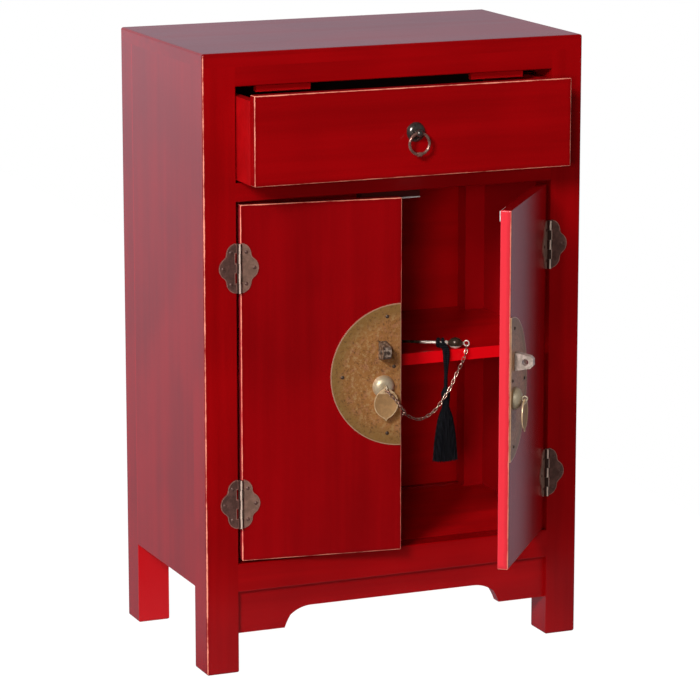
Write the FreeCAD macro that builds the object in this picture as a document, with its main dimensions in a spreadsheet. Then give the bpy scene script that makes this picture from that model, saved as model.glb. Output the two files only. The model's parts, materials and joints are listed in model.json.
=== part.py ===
import FreeCAD, Part
import math
import os
import re

# A small red-lacquered entryway cabinet: a framed carcass on four square legs, a drawer over two inset
# doors, brass half-moon plates with lock eyes, and a lock pin on a chain with a tassel.
# Millimetres. +Z is up and the front faces -Y. The pieces are drawn round the middle of the carcass, and at
# the end they are moved together: the origin is on the floor, under the middle of the box that they fill.
# The stored pose has the drawer pulled out a little, the left door ajar and the right door open.

# Driving dimensions
SIZES = {
    # carcass
    "width": 412, "depth": 240, "leg_size": 34, "edge_round": 1.4, "corner_round": 2.4,
    "foot_clearance": 40, "apron_height": 44, "bottom_rail_height": 29.5, "door_opening_height": 368.5,
    "divider_height": 19, "drawer_opening_height": 95.3, "top_rail_height": 19.7, "top_thickness": 14,
    "rail_depth": 28, "bottom_rail_depth": 22, "tenon_length": 12, "tenon_thickness": 10, "tenon_shoulder": 3,
    "mortise_clearance": 0.3,
    "apron_recess": 5, "apron_thickness": 12, "apron_end_width": 52, "apron_sweep_width": 29,
    "apron_arch_rise": 21,
    "side_thickness": 12, "side_clearance": 86, "tongue_thickness": 6, "tongue_depth": 6,
    "back_thickness": 8, "back_recess": 6, "bottom_thickness": 10, "bottom_drop": 1.5,
    "shelf_thickness": 12, "shelf_height": 309, "shelf_setback": 24, "shelf_clearance": 0.3,
    "batten_height": 18, "batten_thickness": 14,
    # drawer and its run
    "drawer_side_gap": 1.5, "drawer_end_gap": 3, "drawer_front_thickness": 12, "drawer_length": 200,
    "drawer_side_thickness": 9, "drawer_side_height": 83, "drawer_bottom_thickness": 5,
    "drawer_bottom_lift": 6, "drawer_groove_depth": 4, "drawer_pulled_out": 48,
    "run_clearance": 0.3, "ledge_width": 12, "ledge_thickness": 12, "guide_height": 42,
    "stop_width": 58, "stop_inset": 26.7, "stop_depth": 6, "stop_drop": 7.8,
    # drawer ring pull
    "drawer_rosette_radius": 10, "drawer_rosette_rise": 4.5, "post_radius": 1.8, "post_ball_radius": 3.8,
    "post_reach": 9, "ring_radius": 10.6, "ring_wire": 1.4, "ring_clearance": 0.8, "ring_bead_radius": 2.3,
    "ring_bead_length": 4,
    # doors and hinges
    "door_thickness": 11, "door_gap": 2.75, "hinge_gap": 4, "meeting_gap": 3.2,
    "left_door_angle": 7.2, "right_door_angle": 52,
    "axis_stand_off": 3, "barrel_radius": 2.4, "barrel_height": 50, "knuckle_gap": 0.3,
    "pin_radius": 1.2, "pin_clearance": 0.05,
    "leaf_thickness": 1.2, "leaf_start": 3.5, "lobe_radius": 11.3, "lobe_offset": 1.5, "lobe_spread": 14,
    "middle_lobe_radius": 11.8, "middle_lobe_offset": 8.7, "lobe_fillet": 6,
    "lobe_nail_offset": 7.8, "lobe_nail_spread": 16, "middle_nail_offset": 16.2,
    "lower_hinge_inset": 59.7, "upper_hinge_inset": 63,
    "nail_radius": 0.8, "nail_head_radius": 1.9, "nail_head_rise": 0.9, "nail_length": 6,
    "nail_clearance": 0.1,
    # half-moon plates, lock eyes and pendants
    "plate_radius": 73, "plate_thickness": 1.2, "plate_height": 183, "plate_nail_margin": 11,
    "plate_nail_angle": 75.5, "plate_edge_nail_inset": 8.5, "plate_edge_nail_rise": 8.4,
    "lug_inset": 20.5, "lug_rise": 26, "lug_thickness": 8.2, "lug_base_height": 18.5, "lug_tip_height": 12.5,
    "lug_reach": 18.5, "lug_corner": 3, "lug_bore_reach": 10.5, "lug_bore_radius": 3.25,
    "rosette_inset": 19.6, "rosette_drop": 11.5, "rosette_radius": 11.5, "rosette_rise": 6.5,
    "eye_radius": 2.6, "eye_wire": 0.65, "eye_stand_off": 0.2, "shank_radius": 1.1, "shank_length": 16,
    "shank_clearance": 0.2,
    "pendant_width": 25, "pendant_length": 34, "pendant_thickness": 1.4, "pendant_hole_radius": 1.6,
    "pendant_collar": 1.3, "pendant_tip_width": 4, "pendant_tip_length": 3,
    # magnetic catch
    "catch_width": 64, "catch_depth": 14, "catch_height": 10, "pole_thickness": 1.2, "pole_lip": 1,
    "strike_length": 25, "strike_height": 10, "strike_thickness": 1.2, "strike_inset": 3, "catch_gap": 0.3,
    # lock pin, chain and tassel
    "pin_collar_x": 68.7, "pin_collar_back": 8, "pin_turn": -31, "rod_radius": 1.5, "rod_length": 50,
    "rod_tip_radius": 0.7, "rod_taper": 5, "collar_radius": 2.7, "collar_length": 3.4, "handle_radius": 5.9,
    "handle_length": 15.7, "neck_radius": 1.4, "neck_tip_radius": 0.45, "neck_length": 0.8,
    "pin_eye_radius": 2.7, "pin_eye_wire": 0.65, "seat_clearance": 0.2,
    "link_wire": 0.9, "link_width": 3.6, "link_length": 6.4, "link_pitch": 4.3, "link_slack": 0.15,
    "chain_edge_gap": 0.6, "chain_door_gap": 2.6, "hook_angle": 20,
    "cord_radius": 2, "cord_loop_clearance": 0.2, "cord_loop_back": 4, "cord_edge_gap": 1.2,
    "cord_bend_radius": 4, "cord_drop": 38,
    "tassel_head_radius": 5, "tassel_head_length": 20.5, "skirt_length": 58, "skirt_top_radius": 3.8,
    "skirt_width": 29.5, "skirt_depth": 13,
}

# Heights above the floor, and places across the front, as formulas of the driving dimensions
RAIL_BOTTOM = "(foot_clearance + apron_height)"
RAIL_TOP = f"({RAIL_BOTTOM} + bottom_rail_height)"
DIVIDER_BOTTOM = f"({RAIL_TOP} + door_opening_height)"
DIVIDER_TOP = f"({DIVIDER_BOTTOM} + divider_height)"
TOP_RAIL_BOTTOM = f"({DIVIDER_TOP} + drawer_opening_height)"
LEG_TOP = f"({TOP_RAIL_BOTTOM} + top_rail_height)"
LEG_INNER = "(width / 2 - leg_size)"
LEG_BACK = "(leg_size - depth / 2)"
SIDE_INNER = "(width / 2 - side_thickness)"
BACK_FACE = "(depth / 2 - back_recess - back_thickness)"
HINGE_X = f"({LEG_INNER} - hinge_gap / 2)"
HINGE_Y = "(-depth / 2 - axis_stand_off)"
DOOR_WIDTH = f"({LEG_INNER} - hinge_gap - meeting_gap / 2)"
DOOR_EDGE = f"({DOOR_WIDTH} + hinge_gap / 2)"
DOOR_BOTTOM = f"({RAIL_TOP} + door_gap)"
DOOR_HEIGHT = "(door_opening_height - 2 * door_gap)"
DRAWER_BOTTOM = f"({DIVIDER_TOP} + drawer_end_gap)"
DRAWER_HALF = f"({LEG_INNER} - drawer_side_gap)"
DRAWER_FRONT = "(-depth / 2 - drawer_pulled_out)"

# Points on the apron's swept corner, as shares of its own width and rise
SWEEP_LOWER = (0.097, 0.32)
SWEEP_MIDDLE = (0.217, 0.61)
SWEEP_UPPER = (0.517, 0.863)
# A point on a dome's curve, as shares of its radius and rise
DOME_SHOULDER = (0.71, 0.79)
# Knuckles of a hinge, counted from below, and an angle that lies on every end lobe's arc
KNUCKLE_COUNT = 5
FRAME_KNUCKLES = (0, 2, 4)
DOOR_KNUCKLES = (1, 3)
LOBE_TIP_ANGLE = 40
# Where a tassel's head is thickest, as a share of its length, and how its skirt widens: share of its drop,
# share of its spread
HEAD_BULGE = 0.3
SKIRT_SECTIONS = ((0, 0), (0.22, 0.45), (0.6, 0.78), (1, 1))
# The chain over the left plate, in the door's own frame from the pull's eye: along, back, down
CHAIN_OVER_PLATE = ((9.5, -6, 12.5), (15.8, -2.4, 20.8))
# The chain past the door's free edge: back from the door's face, down from the pull's eye
CHAIN_PAST_EDGE = ((-4, 27.5), (3, 31), (11, 34.5))
# The chain behind the doors, from the cabinet's middle: across, down from the pull's eye
CHAIN_INSIDE = ((15.4, 38.6), (31, 46.1), (41.1, 43.9), (50.8, 37.6), (59, 27.8), (65.7, 18.4), (73.4, 3.4))
# Two places closer than this are the same
SAME_PLACE = 0.01
# An oval has to be a little narrower one way than the other
OVAL_DIFFERENCE = 0.01

doc = FreeCAD.newDocument("EntrywayCabinet")
sheet = doc.addObject("Spreadsheet::Sheet", "Sizes")
for row, (alias, size) in enumerate(SIZES.items(), start=1):
    sheet.set(f"A{row}", alias)
    sheet.set(f"B{row}", str(size))
    sheet.setAlias(f"B{row}", alias)
doc.recompute()

SUBPARTS = []
SIDES = (("left", 1), ("right", -1))


def bound(formula):
    """Point each size named in a formula at its cell in the sheet."""
    def cell(word):
        return "Sizes." + word.group() if word.group() in SIZES else word.group()
    return re.sub(r"[a-z_]+", cell, formula)


def number(formula):
    """The value of a formula, read from the sheet."""
    return float(sheet.evalExpression(bound(formula)))


def bind(feature, **formulas):
    for name, formula in formulas.items():
        feature.setExpression(name, bound(formula))


def bind_place(feature, x, y, z):
    for axis, formula in (("x", x), ("y", y), ("z", z)):
        feature.setExpression("Placement.Base." + axis, bound(formula))


def new_body(label, placement=None):
    body = doc.addObject("PartDesign::Body", label)
    body.Label = label
    if placement is not None:
        body.Placement = placement
    SUBPARTS.append(body)
    return body


def block(body, kind, size, corner):
    """A box added to or cut from a body: size and lowest corner are triples of formulas."""
    feature = body.newObject(f"PartDesign::{kind}Box", f"{body.Name}_{kind}")
    bind(feature, Length=size[0], Width=size[1], Height=size[2])
    bind_place(feature, *corner)
    return feature


def cylinder(body, kind, radius, length, corner, rotation=None):
    """A cylinder added to or cut from a body, along Z unless it is turned."""
    feature = body.newObject(f"PartDesign::{kind}Cylinder", f"{body.Name}_{kind}")
    if rotation is not None:
        feature.Placement = FreeCAD.Placement(FreeCAD.Vector(), rotation)
    bind(feature, Radius=radius, Height=length)
    bind_place(feature, *corner)
    return feature


def rounded(body, base, along, radius, free):
    """Round the edges of a box that run along the named axes and whose middles pass a test."""
    doc.recompute()
    axes = {"X": FreeCAD.Vector(1, 0, 0), "Y": FreeCAD.Vector(0, 1, 0), "Z": FreeCAD.Vector(0, 0, 1)}
    names = []
    for index, edge in enumerate(base.Shape.Edges, start=1):
        tangent = edge.tangentAt(edge.FirstParameter)
        if any(abs(tangent.dot(axes[axis])) > 0.99 for axis in along) and free(edge.CenterOfMass):
            names.append(f"Edge{index}")
    fillet = body.newObject("PartDesign::Fillet", f"{body.Name}_round")
    fillet.Base = (base, names)
    bind(fillet, Radius=radius)
    return fillet


def every_edge(_middle):
    return True


def board(label, size, corner, along="", placement=None, radius="edge_round", free=every_edge):
    """A plain board, with its free edges along the named axes rounded."""
    body = new_body(label, placement)
    blank = block(body, "Additive", size, corner)
    if along:
        rounded(body, blank, along, radius, free)
    return body


def sketch_on(body, role, geometry, lift=0.0):
    """A sketch of ready-made curves on one of the body's own planes, lifted along the plane's normal."""
    sketch = body.newObject("Sketcher::SketchObject", f"{body.Name}_outline")
    plane = next(item for item in body.Origin.OriginFeatures if item.Role == role)
    sketch.AttachmentSupport = (plane, [""])
    sketch.MapMode = "FlatFace"
    sketch.AttachmentOffset = FreeCAD.Placement(FreeCAD.Vector(0, 0, lift), FreeCAD.Rotation())
    sketch.addGeometry(geometry, False)
    doc.recompute()
    return sketch


def pad(body, sketch, length):
    feature = body.newObject("PartDesign::Pad", f"{body.Name}_pad")
    feature.Profile = sketch
    bind(feature, Length=length)
    return feature


def pocket(body, sketch, depth):
    feature = body.newObject("PartDesign::Pocket", f"{body.Name}_pocket")
    feature.Profile = sketch
    bind(feature, Length=depth)
    return feature


def revolve(body, sketch, axis):
    feature = body.newObject("PartDesign::Revolution", f"{body.Name}_turned")
    feature.Profile = sketch
    feature.ReferenceAxis = (sketch, [axis])
    feature.Angle = 360
    return feature


def flat(x, y):
    return FreeCAD.Vector(x, y, 0)


def line(start, end):
    return Part.LineSegment(flat(*start), flat(*end))


def arc(start, middle, end):
    return Part.Arc(flat(*start), flat(*middle), flat(*end))


def circle(center, radius):
    return Part.Circle(flat(*center), FreeCAD.Vector(0, 0, 1), radius)


def smooth(points):
    curve = Part.BSplineCurve()
    curve.interpolate([flat(*point) for point in points])
    return curve


def polygon(points):
    return [line(start, end) for start, end in zip(points, points[1:] + points[:1])]


def group(label, solids):
    """Identical small pieces kept together as one group of separate solids."""
    feature = doc.addObject("Part::Feature", label)
    feature.Label = label
    feature.Shape = Part.makeCompound(solids)
    SUBPARTS.append(feature)
    return feature


def joined(label, members):
    """Bodies that are kept as one group of separate solids."""
    compound = doc.addObject("Part::Compound", label)
    compound.Label = label
    compound.Links = members
    for member in members:
        SUBPARTS.remove(member)
    SUBPARTS.append(compound)
    return compound


# Places of the doors

def door_placement(side):
    """The hinge axis of a door, turned as far as the door stands open."""
    angle = number("left_door_angle") if side > 0 else number("right_door_angle")
    turn = FreeCAD.Rotation(FreeCAD.Vector(0, 0, 1), -side * angle)
    return FreeCAD.Placement(hinge_base(side), turn)


def hinge_base(side):
    return FreeCAD.Vector(-side * number(HINGE_X), number(HINGE_Y), 0)


def span(side, start, end):
    """Lowest end of a stretch measured from the hinge axis towards a door's free edge."""
    return start if side > 0 else f"-({end})"


# Carcass

def leg(label, x_side, y_side):
    """A square leg with mortises for the front or rear members and a groove for its side panel."""
    def outer_or_foot(middle):
        outer = abs(middle.x) + abs(middle.y) > number("width / 2 + depth / 2") - SAME_PLACE
        return outer and middle.z < number(LEG_TOP) - SAME_PLACE or middle.z < SAME_PLACE

    x = "-width / 2" if x_side < 0 else LEG_INNER
    y = "-depth / 2" if y_side < 0 else "depth / 2 - leg_size"
    size = ("leg_size", "leg_size", LEG_TOP)
    body = board(label, size, (x, y, "0"), "XYZ", radius="corner_round", free=outer_or_foot)
    slot = "(tenon_length + mortise_clearance)"
    mortise_x = f"-{LEG_INNER} - {slot}" if x_side < 0 else LEG_INNER
    if y_side < 0:
        members = (
            ("rail_depth", TOP_RAIL_BOTTOM, "top_rail_height"),
            ("rail_depth", DIVIDER_BOTTOM, "divider_height"),
            ("bottom_rail_depth", RAIL_BOTTOM, "bottom_rail_height"),
        )
        for deep, low, tall in members:
            size = (slot, "tenon_thickness", f"{tall} - 2 * tenon_shoulder")
            corner = (mortise_x, f"-depth / 2 + ({deep} - tenon_thickness) / 2", f"{low} + tenon_shoulder")
            block(body, "Subtractive", size, corner)
        size = (slot, "tongue_thickness", "apron_height - 2 * tenon_shoulder")
        corner = (mortise_x, "-depth / 2 + apron_recess + (apron_thickness - tongue_thickness) / 2",
                  "foot_clearance + tenon_shoulder")
        block(body, "Subtractive", size, corner)
    else:
        size = (slot, "tenon_thickness", "bottom_rail_height - 2 * tenon_shoulder")
        corner = (mortise_x, "depth / 2 - (bottom_rail_depth + tenon_thickness) / 2",
                  f"{RAIL_BOTTOM} + tenon_shoulder")
        block(body, "Subtractive", size, corner)
        groove = "(tongue_depth + mortise_clearance)"
        size = (groove, "back_thickness", f"{LEG_TOP} - {RAIL_TOP}")
        groove_x = f"-{LEG_INNER} - {groove}" if x_side < 0 else LEG_INNER
        block(body, "Subtractive", size, (groove_x, BACK_FACE, RAIL_TOP))
    groove = "(tongue_depth + mortise_clearance)"
    size = ("tongue_thickness", groove, f"{LEG_TOP} - side_clearance")
    inset = "(side_thickness - tongue_thickness) / 2"
    groove_x = f"-width / 2 + {inset}" if x_side < 0 else f"width / 2 - {inset} - tongue_thickness"
    groove_y = f"{LEG_BACK} - {groove}" if y_side < 0 else f"-{LEG_BACK}"
    block(body, "Subtractive", size, (groove_x, groove_y, "side_clearance"))


def rail(label, deep, low, tall, rear=False, free=every_edge):
    """A rail across the front or rear, tenoned into both legs."""
    y = f"depth / 2 - {deep}" if rear else "-depth / 2"
    body = board(label, (f"2 * {LEG_INNER}", deep, tall), (f"-{LEG_INNER}", y, low), "X", free=free)
    size = ("tenon_length", "tenon_thickness", f"{tall} - 2 * tenon_shoulder")
    tenon_y = f"{y} + ({deep} - tenon_thickness) / 2"
    for x in (f"-{LEG_INNER} - tenon_length", LEG_INNER):
        block(body, "Additive", size, (x, tenon_y, f"{low} + tenon_shoulder"))
    return body


def apron():
    """The set-back board under the bottom rail: square ends, swept corners and a flat arch between."""
    half = number(LEG_INNER)
    low = number("foot_clearance")
    high = number(RAIL_BOTTOM)
    sweep_start = half - number("apron_end_width")
    sweep_end = sweep_start - number("apron_sweep_width")
    rise = number("apron_arch_rise")

    def sweep(sign):
        def at(share):
            return (sign * (sweep_start - number("apron_sweep_width") * share[0]), low + rise * share[1])
        lower_arc = arc(at((0, 0)), at(SWEEP_LOWER), at(SWEEP_MIDDLE))
        return lower_arc, arc(at(SWEEP_MIDDLE), at(SWEEP_UPPER), at((1, 1)))

    left_low, left_high = sweep(-1)
    right_low, right_high = sweep(1)
    outline = [
        line((-half, low), (-sweep_start, low)), left_low, left_high,
        line((-sweep_end, low + rise), (sweep_end, low + rise)), right_high, right_low,
        line((sweep_start, low), (half, low)), line((half, low), (half, high)),
        line((half, high), (-half, high)), line((-half, high), (-half, low)),
    ]
    body = new_body("apron")
    front = -number("depth") / 2 + number("apron_recess")
    sketch = sketch_on(body, "XZ_Plane", outline, -front - number("apron_thickness"))
    pad(body, sketch, "apron_thickness")
    size = ("tenon_length", "tongue_thickness", "apron_height - 2 * tenon_shoulder")
    y = "-depth / 2 + apron_recess + (apron_thickness - tongue_thickness) / 2"
    for x in (f"-{LEG_INNER} - tenon_length", LEG_INNER):
        block(body, "Additive", size, (x, y, "foot_clearance + tenon_shoulder"))


def side_panel(label, x_side):
    x = "-width / 2" if x_side < 0 else SIDE_INNER
    tall = f"{LEG_TOP} - side_clearance"
    body = board(label, ("side_thickness", f"-2 * {LEG_BACK}", tall), (x, LEG_BACK, "side_clearance"))
    size = ("tongue_thickness", f"-2 * {LEG_BACK} + 2 * tongue_depth", tall)
    inset = "(side_thickness - tongue_thickness) / 2"
    corner = (f"{x} + {inset}", f"{LEG_BACK} - tongue_depth", "side_clearance")
    block(body, "Additive", size, corner)


def winged_board(label, front, rear, thickness, low):
    """A board between the legs, with wings that reach the side panels behind the front legs."""
    body = new_body(label)
    inner = f"({LEG_INNER} - shelf_clearance)"
    wing = f"({SIDE_INNER} - shelf_clearance)"
    block(body, "Additive", (f"2 * {inner}", f"{rear} - ({front})", thickness), (f"-{inner}", front, low))
    size = (f"2 * {wing}", f"-2 * {LEG_BACK} - 2 * shelf_clearance", thickness)
    block(body, "Additive", size, (f"-{wing}", f"{LEG_BACK} + shelf_clearance", low))


def carcass():
    for name, side in SIDES:
        leg("leg_front_" + name, -side, -1)
        leg("leg_rear_" + name, -side, 1)
    def above_legs(middle):
        return middle.z > number(LEG_TOP) + SAME_PLACE

    def below_top(middle):
        return middle.z < number(LEG_TOP) - SAME_PLACE

    size = ("width", "depth", "top_thickness")
    corner = ("-width / 2", "-depth / 2", LEG_TOP)
    board("top_panel", size, corner, "XYZ", radius="corner_round", free=above_legs)
    rail("top_rail", "rail_depth", TOP_RAIL_BOTTOM, "top_rail_height", free=below_top)
    rail("divider_rail", "rail_depth", DIVIDER_BOTTOM, "divider_height")
    bottom_low = f"{RAIL_TOP} - bottom_drop - bottom_thickness"
    front_rail = rail("bottom_rail", "bottom_rail_depth", RAIL_BOTTOM, "bottom_rail_height")
    rear_rail = rail("rear_bottom_rail", "bottom_rail_depth", RAIL_BOTTOM, "bottom_rail_height", rear=True)
    groove = (f"2 * {LEG_INNER}", "tongue_depth", "bottom_thickness")
    groove_y = "-depth / 2 + bottom_rail_depth - tongue_depth"
    block(front_rail, "Subtractive", groove, (f"-{LEG_INNER}", groove_y, bottom_low))
    block(rear_rail, "Subtractive", groove, (f"-{LEG_INNER}", "depth / 2 - bottom_rail_depth", bottom_low))
    apron()
    side_panel("side_panel_left", -1)
    side_panel("side_panel_right", 1)
    size = (f"2 * {LEG_INNER} + 2 * tongue_depth", "back_thickness", f"{LEG_TOP} - {RAIL_TOP}")
    board("back_panel", size, (f"-{LEG_INNER} - tongue_depth", BACK_FACE, RAIL_TOP))
    reach = "(depth / 2 - bottom_rail_depth + tongue_depth - shelf_clearance)"
    winged_board("bottom_panel", f"-{reach}", reach, "bottom_thickness", bottom_low)
    shelf_rear = f"({BACK_FACE} - shelf_clearance)"
    shelf_low = "shelf_height - shelf_thickness"
    winged_board("shelf", "-depth / 2 + shelf_setback", shelf_rear, "shelf_thickness", shelf_low)
    for name, side in SIDES:
        x = f"-{SIDE_INNER}" if side > 0 else f"{SIDE_INNER} - batten_thickness"
        size = ("batten_thickness", f"-2 * {LEG_BACK}", "batten_height")
        board("shelf_batten_" + name, size, (x, LEG_BACK, "shelf_height - shelf_thickness - batten_height"))
        drawer_runner(name, side)
    stops = []
    for side in (-1, 1):
        x = f"-{LEG_INNER} + stop_inset" if side < 0 else f"{LEG_INNER} - stop_inset - stop_width"
        size = ("stop_width", "stop_depth", "stop_drop")
        corner = (x, "-depth / 2 + drawer_front_thickness + run_clearance", f"{TOP_RAIL_BOTTOM} - stop_drop")
        stops.append(board("drawer_stop" + ("_left" if side < 0 else "_right"), size, corner))
    joined("drawer_stop_blocks", stops)


def drawer_runner(name, side):
    """An L-shaped strip on a side panel: a ledge that carries the drawer and a guide beside it."""
    body = new_body("drawer_runner_" + name)
    guide = f"({SIDE_INNER} - {LEG_INNER})"
    low = f"{DRAWER_BOTTOM} - run_clearance - ledge_thickness"
    x = f"-{SIDE_INNER}" if side > 0 else LEG_INNER
    block(body, "Additive", (guide, f"-2 * {LEG_BACK}", "guide_height"), (x, LEG_BACK, low))
    x = f"-{LEG_INNER}" if side > 0 else f"{LEG_INNER} - ledge_width"
    block(body, "Additive", ("ledge_width", f"-2 * {LEG_BACK}", "ledge_thickness"), (x, LEG_BACK, low))


# Drawer

def drawer():
    front_tall = "(drawer_opening_height - 2 * drawer_end_gap)"
    front_size = (f"2 * {DRAWER_HALF}", "drawer_front_thickness", front_tall)
    front = board("drawer_front", front_size, (f"-{DRAWER_HALF}", DRAWER_FRONT, DRAWER_BOTTOM), "XYZ")
    behind = f"({DRAWER_FRONT} + drawer_front_thickness)"
    side_length = "(drawer_length - drawer_front_thickness)"
    groove_low = f"{DRAWER_BOTTOM} + drawer_bottom_lift"
    groove_half = f"({DRAWER_HALF} - drawer_side_thickness + drawer_groove_depth)"
    for name, side in SIDES:
        x = f"-{DRAWER_HALF}" if side > 0 else f"{DRAWER_HALF} - drawer_side_thickness"
        size = ("drawer_side_thickness", side_length, "drawer_side_height")
        cheek = board("drawer_side_" + name, size, (x, behind, DRAWER_BOTTOM))
        groove_x = f"-{groove_half}" if side > 0 else f"{groove_half} - drawer_groove_depth"
        size = ("drawer_groove_depth", side_length, "drawer_bottom_thickness")
        block(cheek, "Subtractive", size, (groove_x, behind, groove_low))
    inside = f"({DRAWER_HALF} - drawer_side_thickness)"
    back_low = f"{groove_low} + drawer_bottom_thickness"
    back_tall = "drawer_side_height - drawer_bottom_lift - drawer_bottom_thickness"
    size = (f"2 * {inside}", "drawer_side_thickness", back_tall)
    board("drawer_back", size, (f"-{inside}", f"{behind} + {side_length} - drawer_side_thickness", back_low))
    size = (f"2 * {groove_half}", "drawer_groove_depth", "drawer_bottom_thickness")
    block(front, "Subtractive", size, (f"-{groove_half}", f"{behind} - drawer_groove_depth", groove_low))
    size = (f"2 * {groove_half}", f"{side_length} + drawer_groove_depth", "drawer_bottom_thickness")
    board("drawer_bottom", size, (f"-{groove_half}", f"{behind} - drawer_groove_depth", groove_low))
    ring_pull(front, front_tall)


def dome(label, radius, rise, bore, placement):
    """A turned dome, flat behind, bored along its middle. It stands out towards -Y."""
    body = new_body(label, placement)
    shoulder = (bore + (radius - bore) * DOME_SHOULDER[0], -rise * DOME_SHOULDER[1])
    outline = [
        line((bore, 0), (radius, 0)),
        arc((radius, 0), shoulder, (bore, -rise)),
        line((bore, -rise), (bore, 0)),
    ]
    revolve(body, sketch_on(body, "XY_Plane", outline), "V_Axis")


def ring_pull(front, front_tall):
    """A domed rosette, a ball post bored across, and a ring that hangs through it."""
    level = number(f"{DRAWER_BOTTOM} + {front_tall} / 2")
    face = number(DRAWER_FRONT)
    bore = number("post_radius + shank_clearance")
    hole = sketch_on(front, "XZ_Plane", [circle((0, level), bore)], -face)
    pocket(front, hole, "drawer_front_thickness")
    center = FreeCAD.Placement(FreeCAD.Vector(0, face, level), FreeCAD.Rotation())
    dome("drawer_rosette", number("drawer_rosette_radius"), number("drawer_rosette_rise"), bore, center)
    post = new_body("drawer_ring_post", center)
    along_y = FreeCAD.Rotation(FreeCAD.Vector(1, 0, 0), -90)
    stem = "post_reach + drawer_front_thickness"
    cylinder(post, "Additive", "post_radius", stem, ("0", "-post_reach", "0"), along_y)
    ball = post.newObject("PartDesign::AdditiveSphere", "post_ball")
    bind(ball, Radius="post_ball_radius")
    bind_place(ball, "0", "-post_reach", "0")
    along_x = FreeCAD.Rotation(FreeCAD.Vector(0, 1, 0), 90)
    bore_start = ("-post_ball_radius", "-post_reach", "0")
    cylinder(post, "Subtractive", "ring_wire + ring_clearance", "2 * post_ball_radius", bore_start, along_x)
    ring = new_body("drawer_ring", center)
    loop = ring.newObject("PartDesign::AdditiveTorus", "ring_loop")
    loop.Placement = FreeCAD.Placement(FreeCAD.Vector(), FreeCAD.Rotation(FreeCAD.Vector(1, 0, 0), 90))
    bind(loop, Radius1="ring_radius", Radius2="ring_wire")
    bind_place(loop, "0", "-post_reach", "-ring_radius")
    bead_place = ("-ring_bead_length / 2", "-post_reach", "-2 * ring_radius")
    cylinder(ring, "Additive", "ring_bead_radius", "ring_bead_length", bead_place, along_x)


# Hinges

def hinge_levels():
    """Heights of the lower and the upper hinge's middle."""
    lower = number(f"{DOOR_BOTTOM} + lower_hinge_inset")
    upper = number(f"{DOOR_BOTTOM} + {DOOR_HEIGHT} - upper_hinge_inset")
    return (("lower", lower), ("upper", upper))


def towards(start, goal, distance):
    """The point that far from a start towards a goal."""
    apart = math.hypot(goal[0] - start[0], goal[1] - start[1])
    return tuple(a + (b - a) * distance / apart for a, b in zip(start, goal))


def leaf_outline(direction, level):
    """A lobed leaf: a middle lobe between two end lobes, softly hollowed, cut straight beside the barrel."""
    start = number("leaf_start")
    end = number("lobe_radius")
    middle = number("middle_lobe_radius")
    fillet = number("lobe_fillet")
    end_center = (number("lobe_offset"), number("lobe_spread"))
    middle_center = (number("middle_lobe_offset"), 0.0)
    apart = math.hypot(end_center[0] - middle_center[0], end_center[1])
    along = ((end + fillet) ** 2 - (middle + fillet) ** 2 + apart ** 2) / (2 * apart)
    across = math.sqrt((end + fillet) ** 2 - along ** 2)
    to_middle = ((middle_center[0] - end_center[0]) / apart, -end_center[1] / apart)
    hollow = (end_center[0] + along * to_middle[0] - across * to_middle[1],
              end_center[1] + along * to_middle[1] + across * to_middle[0])
    off_end = towards(end_center, hollow, end)
    off_middle = towards(middle_center, hollow, middle)
    chord = tuple((a + b) / 2 for a, b in zip(off_end, off_middle))
    waist = towards(hollow, chord, fillet)
    shoulder = end_center[1] + math.sqrt(end ** 2 - (start - end_center[0]) ** 2)
    tip_angle = math.radians(LOBE_TIP_ANGLE)
    tip = (end_center[0] + end * math.cos(tip_angle), end_center[1] + end * math.sin(tip_angle))

    def above(point):
        return (direction * point[0], level + point[1])

    def below(point):
        return (direction * point[0], level - point[1])

    top = (start, shoulder)
    return [
        line(below(top), above(top)),
        arc(above(top), above(tip), above(off_end)),
        arc(above(off_end), above(waist), above(off_middle)),
        arc(above(off_middle), above((middle_center[0] + middle, 0)), below(off_middle)),
        arc(below(off_middle), below(waist), below(off_end)),
        arc(below(off_end), below(tip), below(top)),
    ]


def leaf_nails(direction, level):
    """One nail in each lobe of a leaf."""
    small = direction * number("lobe_nail_offset")
    large = direction * number("middle_nail_offset")
    spread = number("lobe_nail_spread")
    return [(large, level), (small, level + spread), (small, level - spread)]


def hinge_leaf(label, placement, direction, level, knuckles):
    """One leaf: its lobed plate, the knuckles that belong to it, and a tab from each to the plate."""
    body = new_body(label, placement)
    outline = leaf_outline(direction, level)
    hole = number("nail_radius + nail_clearance")
    holes = [circle(point, hole) for point in leaf_nails(direction, level)]
    front = number("axis_stand_off")
    pad(body, sketch_on(body, "XZ_Plane", outline + holes, -front), "leaf_thickness")
    pitch = f"(barrel_height / {KNUCKLE_COUNT})"
    for index in knuckles:
        low = f"{level} - barrel_height / 2 + {index} * {pitch} + knuckle_gap / 2"
        tall = f"{pitch} - knuckle_gap"
        cylinder(body, "Additive", "barrel_radius", tall, ("0", "0", low))
        x = "0" if direction > 0 else "-leaf_start - leaf_thickness"
        size = ("leaf_start + leaf_thickness", "leaf_thickness", tall)
        block(body, "Additive", size, (x, "axis_stand_off - leaf_thickness", low))
    clearance = "pin_clearance" if knuckles == DOOR_KNUCKLES else "0"
    low = f"{level} - barrel_height / 2"
    cylinder(body, "Subtractive", f"pin_radius + {clearance}", "barrel_height", ("0", "0", low))
    return body


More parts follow.
